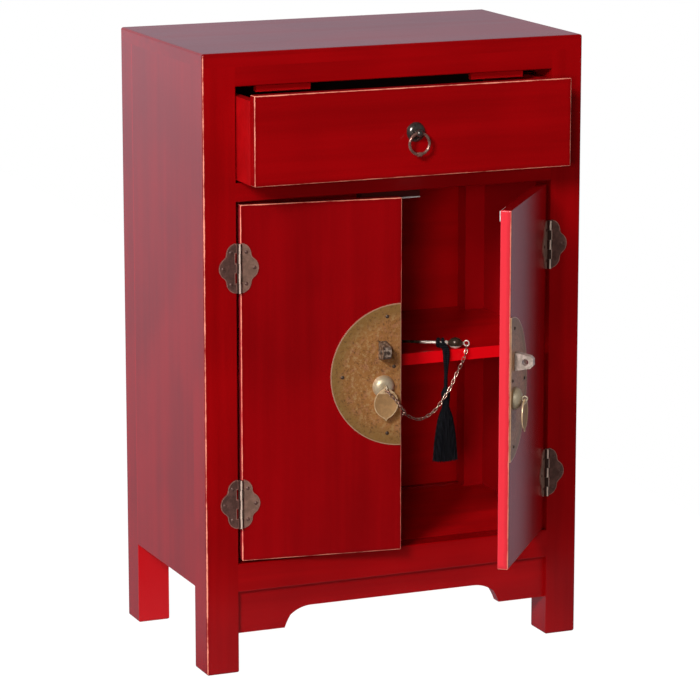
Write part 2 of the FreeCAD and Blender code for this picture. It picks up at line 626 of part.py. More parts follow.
def nail(point, placement, face):
    """A dome-headed nail whose head sits on a face that looks towards -Y, in a door's or leg's own frame."""
    rise = number("nail_head_rise")
    head = number("nail_head_radius")
    ball = (head ** 2 + rise ** 2) / (2 * rise)
    seat = FreeCAD.Vector(point[0], face, point[1])
    center = seat + FreeCAD.Vector(0, ball - rise, 0)
    outward = FreeCAD.Vector(0, -1, 0)
    cap = Part.makeSphere(ball, center).common(Part.makeCylinder(head, rise, seat, outward))
    shank = Part.makeCylinder(number("nail_radius"), number("nail_length"), seat, -outward)
    solid = cap.fuse(shank).removeSplitter()
    solid.Placement = placement.multiply(solid.Placement)
    return solid


def drill(body, points, radius, depth, face):
    """Holes bored from a face that looks towards -Y."""
    pocket(body, sketch_on(body, "XZ_Plane", [circle(point, radius) for point in points], -face), depth)


def hinges(doors):
    """Two hinges a side: one leaf on the leg, one on the door, a pin through both, and nails."""
    face = number("axis_stand_off")
    nail_face = face - number("leaf_thickness")
    bore = number("nail_radius + nail_clearance")
    frame_nails = []
    pins = []
    for name, side in SIDES:
        fixed = FreeCAD.Placement(hinge_base(side), FreeCAD.Rotation())
        swung = door_placement(side)
        frame_leaves = []
        door_leaves = []
        leg_points = []
        door_points = []
        for level_name, level in hinge_levels():
            tag = f"{level_name}_{name}"
            frame_leaves.append(hinge_leaf("frame_leaf_" + tag, fixed, -side, level, FRAME_KNUCKLES))
            door_leaves.append(hinge_leaf("door_leaf_" + tag, swung, side, level, DOOR_KNUCKLES))
            leg_points += leaf_nails(-side, level)
            door_points += leaf_nails(side, level)
            low = FreeCAD.Vector(0, 0, level - number("barrel_height") / 2)
            pin = Part.makeCylinder(number("pin_radius"), number("barrel_height"), hinge_base(side) + low)
            pins.append(pin)
        joined(f"{name}_frame_hinge_leaves", frame_leaves)
        joined(f"{name}_door_hinge_leaves", door_leaves)
        frame_nails += [nail(point, fixed, nail_face) for point in leg_points]
        group(f"{name}_door_hinge_nails", [nail(point, swung, nail_face) for point in door_points])
        drill(doors[side], door_points, bore, "nail_length", face)
        stile = next(body for body in SUBPARTS if body.Label == "leg_front_" + name)
        base = hinge_base(side)
        drill(stile, [(base.x + x, z) for x, z in leg_points], bore, "nail_length", base.y + face)
    group("hinge_pins", pins)
    group("frame_hinge_nails", frame_nails)


# Doors and their fittings

def door(name, side):
    placement = door_placement(side)
    size = (DOOR_WIDTH, "door_thickness", DOOR_HEIGHT)
    corner = (span(side, "hinge_gap / 2", DOOR_EDGE), "axis_stand_off", DOOR_BOTTOM)
    panel = board(f"{name}_door_panel", size, corner, "XYZ", placement)
    edge = number(DOOR_EDGE)
    middle = number(f"{DOOR_BOTTOM} + plate_height")
    face = number("axis_stand_off")
    surface = face - number("plate_thickness")
    shank = (side * (edge - number("rosette_inset")), middle - number("rosette_drop"))
    nails = plate_nails(side, edge, middle)
    half_moon_plate(name, side, placement, edge, middle, nails, shank)
    group(f"{name}_plate_nails", [nail(point, placement, surface) for point in nails])
    drill(panel, nails, number("nail_radius + nail_clearance"), "nail_length", face)
    drill(panel, [shank], number("shank_radius + shank_clearance"), "door_thickness", face)
    lug(name, placement, side * (edge - number("lug_inset")), surface, middle + number("lug_rise"))
    pull(name, placement, shank, surface)
    strike_plate(name, side, placement)
    return panel


def plate_nails(side, edge, middle):
    """Three nails along the plate's round edge and one beside its straight edge."""
    radius = number("plate_radius - plate_nail_margin")
    points = []
    for angle in (-number("plate_nail_angle"), 0, number("plate_nail_angle")):
        across = radius * math.cos(math.radians(angle))
        points.append((side * (edge - across), middle + radius * math.sin(math.radians(angle))))
    points.append((side * (edge - number("plate_edge_nail_inset")), middle + number("plate_edge_nail_rise")))
    return points


def half_moon_plate(name, side, placement, edge, middle, nails, shank):
    """A half-disc of sheet brass with its straight side along the door's free edge."""
    radius = number("plate_radius")
    straight = side * (edge - number("edge_round"))
    top = (straight, middle + radius)
    foot = (straight, middle - radius)
    outline = [arc(top, (straight - side * radius, middle), foot), line(foot, top)]
    hole = number("nail_radius + nail_clearance")
    outline += [circle(point, hole) for point in nails]
    outline.append(circle(shank, number("shank_radius + shank_clearance")))
    body = new_body(f"{name}_half_moon_plate", placement)
    pad(body, sketch_on(body, "XZ_Plane", outline, -number("axis_stand_off")), "plate_thickness")


def lug(name, placement, x, surface, level):
    """A cast lock eye standing out from the plate: tapered, with cut corners, bored across for a lock."""
    base = number("lug_base_height") / 2
    tip = number("lug_tip_height") / 2
    reach = number("lug_reach")
    corner = number("lug_corner")
    outline = polygon([
        (surface, level - base), (surface, level + base), (surface - reach + corner, level + tip),
        (surface - reach, level + tip - corner), (surface - reach, level - tip + corner),
        (surface - reach + corner, level - tip),
    ])
    outline.append(circle((surface - number("lug_bore_reach"), level), number("lug_bore_radius")))
    body = new_body(f"{name}_lug", placement)
    pad(body, sketch_on(body, "YZ_Plane", outline, x - number("lug_thickness") / 2), "lug_thickness")


def eye_reach():
    """How far the middle of a pull's eye stands out from its plate."""
    return number("rosette_rise + eye_stand_off + eye_radius + eye_wire")


def pull(name, placement, shank, surface):
    """A domed rosette, an eye pin through it, and a leaf-shaped pendant hanging on the eye."""
    bore = number("shank_radius + shank_clearance")
    foot = FreeCAD.Vector(shank[0], surface, shank[1])
    seat = placement.multiply(FreeCAD.Placement(foot, FreeCAD.Rotation()))
    dome(f"{name}_rosette", number("rosette_radius"), number("rosette_rise"), bore, seat)
    center = seat.multiply(FreeCAD.Placement(FreeCAD.Vector(0, -eye_reach(), 0), FreeCAD.Rotation()))
    eye = new_body(f"{name}_eye_pin", center)
    loop = eye.newObject("PartDesign::AdditiveTorus", f"{name}_eye_loop")
    loop.Placement = FreeCAD.Placement(FreeCAD.Vector(), FreeCAD.Rotation(FreeCAD.Vector(0, 1, 0), 90))
    bind(loop, Radius1="eye_radius", Radius2="eye_wire")
    along_y = FreeCAD.Rotation(FreeCAD.Vector(1, 0, 0), -90)
    cylinder(eye, "Additive", "shank_radius", "shank_length", ("0", "eye_radius", "0"), along_y)
    pendant(name, center)


def pendant(name, center):
    """A leaf of sheet brass, hung through a hole near its top, with a small pointed tip."""
    half = number("pendant_width") / 2
    hang = -number("eye_radius")
    top = hang + number("pendant_hole_radius + pendant_collar")
    foot = top - number("pendant_length")
    tip_half = number("pendant_tip_width") / 2
    shoulder = foot + number("pendant_tip_length")
    belly = (top + shoulder) / 2
    outline = [
        arc((0, top), (half, belly), (tip_half, shoulder)), line((tip_half, shoulder), (0, foot)),
        line((0, foot), (-tip_half, shoulder)), arc((-tip_half, shoulder), (-half, belly), (0, top)),
        circle((0, hang), number("pendant_hole_radius")),
    ]
    body = new_body(f"{name}_pendant", center)
    pad(body, sketch_on(body, "XZ_Plane", outline, -number("pendant_thickness") / 2), "pendant_thickness")


def strike_plate(name, side, placement):
    """The steel plate on a door's inner face that meets the magnetic catch."""
    start = f"{DOOR_EDGE} - strike_inset - strike_length"
    x = span(side, start, f"{DOOR_EDGE} - strike_inset")
    size = ("strike_length", "strike_thickness", "strike_height")
    low = f"{DOOR_BOTTOM} + {DOOR_HEIGHT} - edge_round - strike_height"
    board(f"{name}_strike_plate", size, (x, "axis_stand_off + door_thickness", low), "", placement)


def catch():
    """A double magnetic catch under the divider rail: a plastic case between two steel pole plates."""
    face = "(-depth / 2 + door_thickness + strike_thickness + catch_gap)"
    size = ("catch_width", "catch_depth - pole_lip", "catch_height - 2 * pole_thickness")
    low = f"{DIVIDER_BOTTOM} - catch_height"
    board("catch_body", size, ("-catch_width / 2", f"{face} + pole_lip", f"{low} + pole_thickness"))
    plates = []
    for name, z in (("lower", low), ("upper", f"{DIVIDER_BOTTOM} - pole_thickness")):
        size = ("catch_width", "catch_depth", "pole_thickness")
        plates.append(board("pole_plate_" + name, size, ("-catch_width / 2", face, z)))
    joined("catch_pole_plates", plates)


# Lock pin, chain and tassel

def pin_placement():
    """The lock pin's collar: the pin lies on the shelf, turned so that its eye reaches over the edge."""
    level = number("shelf_height + handle_radius + seat_clearance")
    y = number("-depth / 2 + shelf_setback + pin_collar_back")
    turn = FreeCAD.Rotation(FreeCAD.Vector(0, 0, 1), number("pin_turn"))
    return FreeCAD.Placement(FreeCAD.Vector(number("pin_collar_x"), y, level), turn)


def lock_pin():
    """A turned pin along its own X: a tapered rod, a collar, a spindle handle and an eye for the chain."""
    rod = number("rod_radius")
    tip = -number("rod_length")
    collar = number("collar_length")
    handle_end = collar + number("handle_length")
    neck = number("neck_radius")
    neck_tip = number("neck_tip_radius")
    end = handle_end + number("neck_length")
    outline = [
        line((tip, 0), (tip, number("rod_tip_radius"))),
        line((tip, number("rod_tip_radius")), (tip + number("rod_taper"), rod)),
        line((tip + number("rod_taper"), rod), (0, rod)),
        line((0, rod), (collar / 2, number("collar_radius"))),
        line((collar / 2, number("collar_radius")), (collar, rod)),
        smooth([(collar, rod), ((collar + handle_end) / 2, number("handle_radius")), (handle_end, neck)]),
        line((handle_end, neck), (end, neck_tip)), line((end, neck_tip), (end, 0)), line((end, 0), (tip, 0)),
    ]
    body = new_body("lock_pin", pin_placement())
    revolve(body, sketch_on(body, "XY_Plane", outline), "H_Axis")
    eye = body.newObject("PartDesign::AdditiveTorus", "pin_eye")
    eye.Placement = FreeCAD.Placement(FreeCAD.Vector(), FreeCAD.Rotation(FreeCAD.Vector(1, 0, 0), 90))
    bind(eye, Radius1="pin_eye_radius", Radius2="pin_eye_wire")
    bind_place(eye, "collar_length + handle_length + neck_length + pin_eye_radius", "0", "0")


def cord_path(start, foot):
    """A run along the shelf, one bend over its front edge and a run straight down."""
    bend = number("cord_bend_radius")
    center = FreeCAD.Vector(start.x, foot.y + bend, start.z - bend)
    over = center + FreeCAD.Vector(0, 0, bend)
    down = center - FreeCAD.Vector(0, bend, 0)
    middle = center + FreeCAD.Vector(0, -bend, bend) * math.sqrt(0.5)
    runs = [Part.LineSegment(start, over), Part.Arc(over, middle, down), Part.LineSegment(down, foot)]
    return Part.Wire([run.toShape() for run in runs])


def tassel():
    """A tassel: a cord looped round the pin's rod, over the shelf's edge, to a bound head and a skirt."""
    cord = number("cord_radius")
    inner = number("rod_radius + cord_loop_clearance")
    back = FreeCAD.Vector(-number("cord_loop_back"), 0, 0)
    loop_place = pin_placement().multiply(FreeCAD.Placement(back, FreeCAD.Rotation()))
    loop = Part.makeTorus(inner + cord, cord, FreeCAD.Vector(), FreeCAD.Vector(1, 0, 0))
    loop.Placement = loop_place
    shelf = number("shelf_height")
    hang = number("-depth / 2 + shelf_setback - cord_edge_gap - cord_radius")
    lying = shelf + cord + number("seat_clearance")
    start = FreeCAD.Vector(loop_place.Base.x, loop_place.Base.y - inner, lying)
    foot = FreeCAD.Vector(start.x, hang, shelf - number("cord_drop"))
    path = cord_path(start, foot)
    section = Part.Wire(Part.makeCircle(cord, start, FreeCAD.Vector(0, -1, 0)))
    tube = path.makePipeShell([section], True, False)
    print(f"cord {path.Length:.1f} mm long from its loop to the tassel's head")
    feature = doc.addObject("Part::Feature", "tassel_cord")
    feature.Label = "tassel_cord"
    feature.Shape = tube.fuse(loop).removeSplitter()
    SUBPARTS.append(feature)

    head_length = number("tassel_head_length")
    head_radius = number("tassel_head_radius")
    waist = number("cord_radius")
    head = new_body("tassel_head", FreeCAD.Placement(foot, FreeCAD.Rotation()))
    narrow = number("skirt_top_radius")
    outline = [
        line((0, 0), (waist, 0)),
        smooth([(waist, 0), (head_radius, -head_length * HEAD_BULGE), (narrow, -head_length)]),
        line((narrow, -head_length), (0, -head_length)), line((0, -head_length), (0, 0)),
    ]
    revolve(head, sketch_on(head, "XZ_Plane", outline), "V_Axis")
    skirt_top = foot - FreeCAD.Vector(0, 0, head_length)
    skirt = new_body("tassel_skirt", FreeCAD.Placement(skirt_top, FreeCAD.Rotation()))
    wide = (number("skirt_width") / 2, number("skirt_depth") / 2)
    drop = number("skirt_length")
    sections = []
    for share, spread in SKIRT_SECTIONS:
        long_half = narrow + (wide[0] - narrow) * spread
        short_half = narrow + (wide[1] - narrow) * spread - OVAL_DIFFERENCE
        oval = Part.Ellipse(FreeCAD.Vector(), long_half, short_half)
        sections.append(sketch_on(skirt, "XY_Plane", [oval], -drop * share))
    loft = skirt.newObject("PartDesign::AdditiveLoft", "skirt_loft")
    loft.Profile = sections[0]
    loft.Sections = sections[1:]


def hook_reach(eye_radius, eye_wire):
    """How far from an eye's middle the first link's near station lies, so that it hooks round the wire."""
    end_wire = number(f"{eye_radius} - {eye_wire} - link_slack - link_wire / 2")
    return end_wire + number("link_length / 2 - link_wire / 2 - link_pitch / 2")


def chain_route():
    """Where the chain hangs: from the left pull's eye, round the door's edge, and up to the pin's eye."""
    edge = number(DOOR_EDGE)
    level = number(f"{DOOR_BOTTOM} + plate_height - rosette_drop")
    face = number("axis_stand_off")
    left = door_placement(1)
    stand_off = number("plate_thickness") + eye_reach()
    eye = FreeCAD.Vector(edge - number("rosette_inset"), face - stand_off, level)
    hook_angle = math.radians(number("hook_angle"))
    hook = FreeCAD.Vector(0, -math.cos(hook_angle), -math.sin(hook_angle))
    near = hook_reach("eye_radius", "eye_wire")
    beside = edge + number("chain_edge_gap + link_width / 2")
    door_points = [eye + hook * near, eye + hook * (near + number("link_pitch"))]
    door_points += [eye + FreeCAD.Vector(along, back, -down) for along, back, down in CHAIN_OVER_PLATE]
    door_points += [FreeCAD.Vector(beside, face + back, level - down) for back, down in CHAIN_PAST_EDGE]
    behind = number("-depth / 2 + door_thickness + chain_door_gap")
    pin_eye = pin_placement().multVec(FreeCAD.Vector(
        number("collar_length + handle_length + neck_length + pin_eye_radius"), 0, 0))
    far = hook_reach("pin_eye_radius", "pin_eye_wire")
    return [left.multVec(point) for point in door_points] + [
        FreeCAD.Vector(across, behind, level - down) for across, down in CHAIN_INSIDE
    ] + [
        pin_eye - FreeCAD.Vector(2.5, 1.5, 13),
        pin_eye - FreeCAD.Vector(0, 0, far + number("link_pitch")),
        pin_eye - FreeCAD.Vector(0, 0, far),
    ]


def chain_link():
    """One oval of wire along X, flat in XY."""
    wire = number("link_wire") / 2
    bend = number("link_width") / 2 - wire
    straight = number("link_length") / 2 - wire - bend
    end = straight + bend
    runs = [
        line((-straight, bend), (straight, bend)),
        arc((straight, bend), (end, 0), (straight, -bend)),
        line((straight, -bend), (-straight, -bend)),
        arc((-straight, -bend), (-end, 0), (-straight, bend)),
    ]
    oval = Part.Wire([run.toShape() for run in runs])
    section = Part.Wire(Part.makeCircle(wire, flat(-straight, bend), FreeCAD.Vector(1, 0, 0)))
    return oval.makePipeShell([section], True, False)


def lock_chain():
    """Oval links along the route, each a quarter turn from the last, the end links square to their eyes."""
    curve = Part.BSplineCurve()
    curve.interpolate(chain_route())
    hang = curve.toShape()
    count = round(hang.Length / number("link_pitch"))
    stations = hang.discretize(Number=count + 1)
    frames = []
    side = door_placement(1).Rotation.multVec(FreeCAD.Vector(1, 0, 0))
    for start, end in zip(stations, stations[1:]):
        along = (end - start).normalize()
        side = (side - along * side.dot(along)).normalize()
        heading = FreeCAD.Rotation(along, side, along.cross(side), "XYZ")
        frames.append(FreeCAD.Placement((start + end) * 0.5, heading))
    across_eye = pin_placement().Rotation.multVec(FreeCAD.Vector(0, 1, 0))
    eye_side = frames[-1].inverse().Rotation.multVec(across_eye)
    last = count - 1
    twist = math.degrees(math.atan2(eye_side.z, eye_side.y)) - 90 * (last % 2)
    twist -= 180 * round(twist / 180)
    link = chain_link()
    links = []
    for index, frame in enumerate(frames):
        roll = FreeCAD.Rotation(FreeCAD.Vector(1, 0, 0), 90 * (index % 2) + twist * index / last)
        piece = link.copy()
        piece.Placement = frame.multiply(FreeCAD.Placement(FreeCAD.Vector(), roll))
        links.append(piece)
    print(f"chain of {count} links, {hang.Length:.0f} mm along its route")
    group("lock_chain", links)


carcass()
drawer()
panels = {side: door(name, side) for name, side in SIDES}
hinges(panels)
catch()
lock_pin()
tassel()
lock_chain()
doc.recompute()

failed = [item.Label for item in doc.Objects if {"Invalid", "Error"} & set(item.State)]
failed += [item.Label for item in SUBPARTS if item.Shape.isNull() or not item.Shape.isValid()]
if failed:
    raise RuntimeError("failed to build: " + ", ".join(failed))

whole = Part.makeCompound([item.Shape for item in SUBPARTS]).optimalBoundingBox()
to_origin = FreeCAD.Vector(-whole.Center.x, -whole.Center.y, -whole.ZMin)
print(f"moved by {to_origin.x:.3f}, {to_origin.y:.3f}, {to_origin.z:.3f} mm to the origin")
os.makedirs("parts", exist_ok=True)
for item in SUBPARTS:
    item.Shape.translated(to_origin).exportStep(f"parts/{item.Label}.step")
print(len(SUBPARTS), "sub-parts written")
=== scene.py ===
# %% [markdown]
# # Dressing a small red entryway cabinet
# The boards, hinges and fittings arrive as finished solids, in metres, with the front facing -Y. This
# lesson gives them their lacquer, brass and bronze, replaces the few pieces that are soft, loose or rimmed,
# and sets up the studio. Keeping the solids where they are, and adding only what they lack, keeps every
# joint true.

# %% Load the frame
import json
import math
import random

import bpy
from mathutils import Matrix, Vector


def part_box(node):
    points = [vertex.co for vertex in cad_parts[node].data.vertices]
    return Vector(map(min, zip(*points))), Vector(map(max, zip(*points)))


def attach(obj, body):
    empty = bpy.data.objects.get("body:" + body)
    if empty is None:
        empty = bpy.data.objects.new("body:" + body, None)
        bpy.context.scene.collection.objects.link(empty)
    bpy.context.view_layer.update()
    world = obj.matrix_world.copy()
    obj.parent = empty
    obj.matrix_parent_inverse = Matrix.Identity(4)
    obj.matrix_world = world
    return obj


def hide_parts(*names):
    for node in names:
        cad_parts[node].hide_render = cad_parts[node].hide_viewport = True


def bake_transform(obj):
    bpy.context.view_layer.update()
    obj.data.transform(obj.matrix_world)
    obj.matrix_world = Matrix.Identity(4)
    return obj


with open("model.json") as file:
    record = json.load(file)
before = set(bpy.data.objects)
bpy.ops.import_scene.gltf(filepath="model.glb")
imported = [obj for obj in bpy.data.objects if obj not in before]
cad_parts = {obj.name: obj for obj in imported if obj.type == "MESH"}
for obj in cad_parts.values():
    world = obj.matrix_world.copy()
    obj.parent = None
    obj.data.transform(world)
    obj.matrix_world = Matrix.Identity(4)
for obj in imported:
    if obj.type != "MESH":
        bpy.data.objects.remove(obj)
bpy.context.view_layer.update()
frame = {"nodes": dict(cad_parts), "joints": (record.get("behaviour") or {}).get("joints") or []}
nodes = frame["nodes"]

# %% [markdown]
# ## The camera
# The photograph was taken with a long lens from the left of the cabinet and a little above it. Such a view
# can be found by trial, or worked out from the corners of the top and the legs. The corners give a place,
# two angles and a focal length in pixels, and the picture is 700 pixels wide, so that length becomes a lens
# in millimetres.

# %% Camera
FRAME_PIXELS = 700
FOCAL_PIXELS = 3510.9
CAMERA_PLACE = (-1.3912, -3.2315, 1.0665)
CAMERA_YAW = math.radians(22.87)
CAMERA_PITCH = math.radians(12.15)

camera_data = bpy.data.cameras.new("photo_camera")
camera_data.sensor_width = 36
camera_data.lens = camera_data.sensor_width * FOCAL_PIXELS / FRAME_PIXELS
camera_data.clip_end = 100
camera = bpy.data.objects.new("photo_camera", camera_data)
camera.location = CAMERA_PLACE
camera.rotation_euler = (math.radians(90) - CAMERA_PITCH, 0, -CAMERA_YAW)
bpy.context.scene.collection.objects.link(camera)
bpy.context.scene.camera = camera
print("lens", round(camera_data.lens, 1), "mm")

# %% [markdown]
# ## Nodes as arithmetic
# A finish is a tree of shader nodes. Wiring each node by hand is slow to read, so one small class wraps a
# node's output and lets Python's own operators add the Math nodes, and another adds every other kind by one
# method.

# %% Wires and finishes
class Wire:
    """A node's output that takes Python arithmetic: each operator adds one Math node."""

    def __init__(self, finish, socket):
        self.finish = finish
        self.socket = socket

    def __add__(self, other):
        return self.finish.math("ADD", self, other)

    __radd__ = __add__

    def __sub__(self, other):
        return self.finish.math("SUBTRACT", self, other)

    def __rsub__(self, other):
        return self.finish.math("SUBTRACT", other, self)

    def __mul__(self, other):
        return self.finish.math("MULTIPLY", self, other)

    __rmul__ = __mul__

    def __abs__(self):
        return self.finish.math("ABSOLUTE", self)


class Finish:
    """A node tree, for a material unless another tree is given."""

    def __init__(self, name, tree=None):
        self.material = None
        if tree is None:
            self.material = bpy.data.materials.new(name)
            self.material.use_nodes = True
            tree = self.material.node_tree
        self.tree = tree
        self.tree.nodes.clear()

    def node(self, kind, settings=None, sockets=None, output=0):
        made = self.tree.nodes.new(kind)
        for name, value in (settings or {}).items():
            setattr(made, name, value)
        for name, value in (sockets or {}).items():
            if isinstance(value, Wire):
                self.tree.links.new(value.socket, made.inputs[name])
            else:
                made.inputs[name].default_value = value
        return Wire(self, made.outputs[output]) if made.outputs else None

    def math(self, operation, *values):
        return self.node("ShaderNodeMath", {"operation": operation}, dict(enumerate(values)))

    def mix(self, factor, first, second):
        """One colour where the factor is 0, the other where it is 1."""
        return self.node("ShaderNodeMix", {"data_type": "RGBA"}, {0: factor, 6: first, 7: second}, 2)

    def rise(self, value, low, high):
        """0 below low, 1 above high, smooth between."""
        sockets = {"Value": value, "From Min": low, "From Max": high}
        return self.node("ShaderNodeMapRange", {"interpolation_type": "SMOOTHSTEP"}, sockets)

    def place(self, centre=(0, 0, 0), turn=0.0):
        """Object coordinates as seen from a piece's own middle, turned with the piece."""
        here = self.node("ShaderNodeTexCoord", None, None, "Object")
        sockets = {"Vector": here, "Location": centre, "Rotation": (0, 0, turn)}
        return self.node("ShaderNodeMapping", {"vector_type": "TEXTURE"}, sockets)

    def stretched(self, vector, scale):
        return self.node("ShaderNodeVectorMath", {"operation": "MULTIPLY"}, {0: vector, 1: scale})

    def parts(self, vector):
        first = self.node("ShaderNodeSeparateXYZ", None, {0: vector})
        return [Wire(self, output) for output in first.socket.node.outputs]

    def noise(self, vector, scale, detail=3.0, roughness=0.5):
        sockets = {"Vector": vector, "Scale": scale, "Detail": detail, "Roughness": roughness}
        return self.node("ShaderNodeTexNoise", None, sockets)

    def bump(self, height, strength, distance):
        sockets = {"Height": height, "Strength": strength, "Distance": distance}
        return self.node("ShaderNodeBump", None, sockets)

    def shade(self, base, roughness, normal=None, constants=None):
        sockets = {"Base Color": base, "Roughness": roughness, **(constants or {})}
        if normal is not None:
            sockets["Normal"] = normal
        shader = self.node("ShaderNodeBsdfPrincipled", None, sockets)
        self.node("ShaderNodeOutputMaterial", None, {"Surface": shader})
        return self.material


def wear_finish(material, *names):
    for name in names:
        nodes[name].data.materials.clear()
        nodes[name].data.materials.append(material)


print("wires and finishes are ready")

# %% [markdown]
# ## The studio
# The cabinet stands on a sheet of white that runs away behind it, in soft light from the front left. The
# room in front is dark. Lacquer shows whatever it faces, so the left side and the top carry a pale sheen of
# the white sheet, the fronts stay deep red, and the open door is dull because the sheet ends to its right.
# That sheen is weaker than the white which the camera sees, so floor and sky have one strength for each
# kind of ray.

# %% Floor, sky and lamps
WHITE = (1, 1, 1, 1)
FLOOR_COLOUR = (0.8, 0.8, 0.8, 1)
FLOOR_GLOW = 0.92
FLOOR_LOW = Vector((-4.0, -0.30, -0.0006))
FLOOR_HIGH = Vector((0.55, 7.0, -0.0006))
FLOOR_STRENGTH = 1.09
FLOOR_SHEEN_FRONT = 0.13
FLOOR_SHEEN_BESIDE = 0.36
FLOOR_SHEEN_TURN = (-0.15, 0.15)
FLOOR_SHEEN_RISE = 0.135
SKY_LIGHT = 0.09
BACKDROP_DIM = 0.40
BACKDROP_BRIGHT = 0.85
BACKDROP_TURN = (-0.6, 0.35)
BACKDROP_START = (0.05, 0.5)
SHEEN_COLOUR = (0.95, 0.90, 1.06, 1)

bpy.context.scene.view_settings.view_transform = "Standard"
world = bpy.data.worlds.new("studio")
bpy.context.scene.world = world
world.use_nodes = True
sky = Finish("studio", world.node_tree)
rays = sky.node("ShaderNodeLightPath").socket.node.outputs
seen = Wire(sky, rays["Is Camera Ray"]) + Wire(sky, rays["Is Transmission Ray"])
mirrored = Wire(sky, rays["Is Glossy Ray"])
across, behind, _ = sky.parts(sky.node("ShaderNodeTexCoord", None, None, "Generated"))
leftwards = BACKDROP_DIM + (BACKDROP_BRIGHT - BACKDROP_DIM) * sky.rise(0.0 - across, *BACKDROP_TURN)
backdrop = sky.rise(behind, *BACKDROP_START) * leftwards
unseen = 1 - sky.math("MINIMUM", seen + mirrored, 1.0)
strength = seen + mirrored * backdrop + unseen * SKY_LIGHT
tint = sky.mix(mirrored, WHITE, SHEEN_COLOUR)
light = sky.node("ShaderNodeBackground", None, {"Color": tint, "Strength": strength})
sky.node("ShaderNodeOutputWorld", None, {"Surface": light})

bpy.ops.object.select_all(action="DESELECT")
bpy.ops.mesh.primitive_plane_add(size=1, location=(FLOOR_LOW + FLOOR_HIGH) / 2)
floor = bpy.context.object
floor.name = "studio_floor"
floor.scale = (FLOOR_HIGH.x - FLOOR_LOW.x, FLOOR_HIGH.y - FLOOR_LOW.y, 1)
bpy.ops.object.transform_apply(location=True, rotation=True, scale=True)
ground = Finish("studio_floor")
rays = ground.node("ShaderNodeLightPath").socket.node.outputs
matte = ground.node("ShaderNodeBsdfDiffuse", None, {"Color": FLOOR_COLOUR})
mirrored = Wire(ground, rays["Is Glossy Ray"])
_, behind, _ = ground.parts(ground.place())
beside = ground.rise(behind, *FLOOR_SHEEN_TURN)
sheen = FLOOR_SHEEN_FRONT + beside * (FLOOR_SHEEN_BESIDE - FLOOR_SHEEN_FRONT)
sheen = sheen + ground.math("MAXIMUM", behind, 0.0) * FLOOR_SHEEN_RISE
strength = FLOOR_STRENGTH + mirrored * (sheen - FLOOR_STRENGTH)
tint = ground.mix(mirrored, WHITE, SHEEN_COLOUR)
glow = ground.node("ShaderNodeEmission", None, {"Color": tint, "Strength": strength})
shown = Wire(ground, rays["Is Camera Ray"]) + Wire(ground, rays["Is Transmission Ray"])
share = ground.math("MINIMUM", shown * FLOOR_GLOW + mirrored, 1.0)
surface = ground.node("ShaderNodeMixShader", None, {0: share, 1: matte, 2: glow})
ground.node("ShaderNodeOutputMaterial", None, {"Surface": surface})
floor.data.materials.append(ground.material)

# Name, place, size across, watts, and whether lacquer mirrors the lamp
LAMPS = (
    ("key_lamp", (-2.3, -2.34, 2.0), 0.9, 116, True),
    ("side_lamp", (-3.2, -0.4, 1.0), 1.2, 22, False),
    ("front_lamp", (-1.6, -2.93, 0.95), 0.5, 36, False),
    ("fill_lamp", (2.6, -1.2, 0.9), 1.4, 20, False),
    ("top_lamp", (-0.4, 0.3, 3.0), 2.0, 9, False),
)
AIM = Vector((0, 0.05, 0.32))
for name, spot, size, power, mirrored_in_lacquer in LAMPS:
    lamp_data = bpy.data.lights.new(name, "AREA")
    lamp_data.shape = "DISK"
    lamp_data.size = size
    lamp_data.energy = power
    lamp = bpy.data.objects.new(name, lamp_data)
    lamp.location = spot
    lamp.rotation_euler = (AIM - Vector(spot)).to_track_quat("-Z", "Y").to_euler()
    lamp.visible_glossy = mirrored_in_lacquer
    bpy.context.scene.collection.objects.link(lamp)
print("studio with", len(LAMPS), "lamps")

# %% [markdown]
# ## Where the doors stand
# Both doors are drawn open, so their boards and plates are turned. Each hinge joint knows its own axis and
# how far it can still close, and that gives the angle. A point of a door is then easiest to name as so far
# from the hinge axis towards the free edge, so far behind the axis, and so high.

# %% Door frames
DOOR_EDGE = 0.1684
DOOR_HINGE_SIDE = 0.002
DOOR_FACE = 0.003
DOOR_THICKNESS = 0.011
joints = {joint["name"]: joint for joint in frame["joints"]}


def door_frame(name):
    """The hinge axis, the door's turn about it, and which way its own X runs to the free edge."""
    joint = joints[f"{name}_door_hinge"]
    side = 1 if name == "left" else -1
    opened = math.radians(-joint["range_deg"][0])
    return Vector(joint["pos_m"]), -side * opened, side


def door_point(name, along, back, height):
    hinge, turn, side = door_frame(name)
    flat = Matrix.Rotation(turn, 3, "Z") @ Vector((side * along, back, 0))
    return Vector((hinge.x + flat.x, hinge.y + flat.y, height))


for name in ("left", "right"):
    print(name, "door stands open by", round(math.degrees(abs(door_frame(name)[1])), 1), "degrees")

# %% [markdown]
# ## Red lacquer
# The real finish is a deep red with faint brush marks along the board. Along the edges of the drawer's
# front, the doors, the top and the left leg it is rubbed through to pale wood. A worn edge could be painted
# on a picture of the board. Here it comes from the board's own box: a point near an edge is close to two
# faces at once, so the middle one of its three depths tells how near the edge is. Faces that were left
# without glaze stay a brighter red.

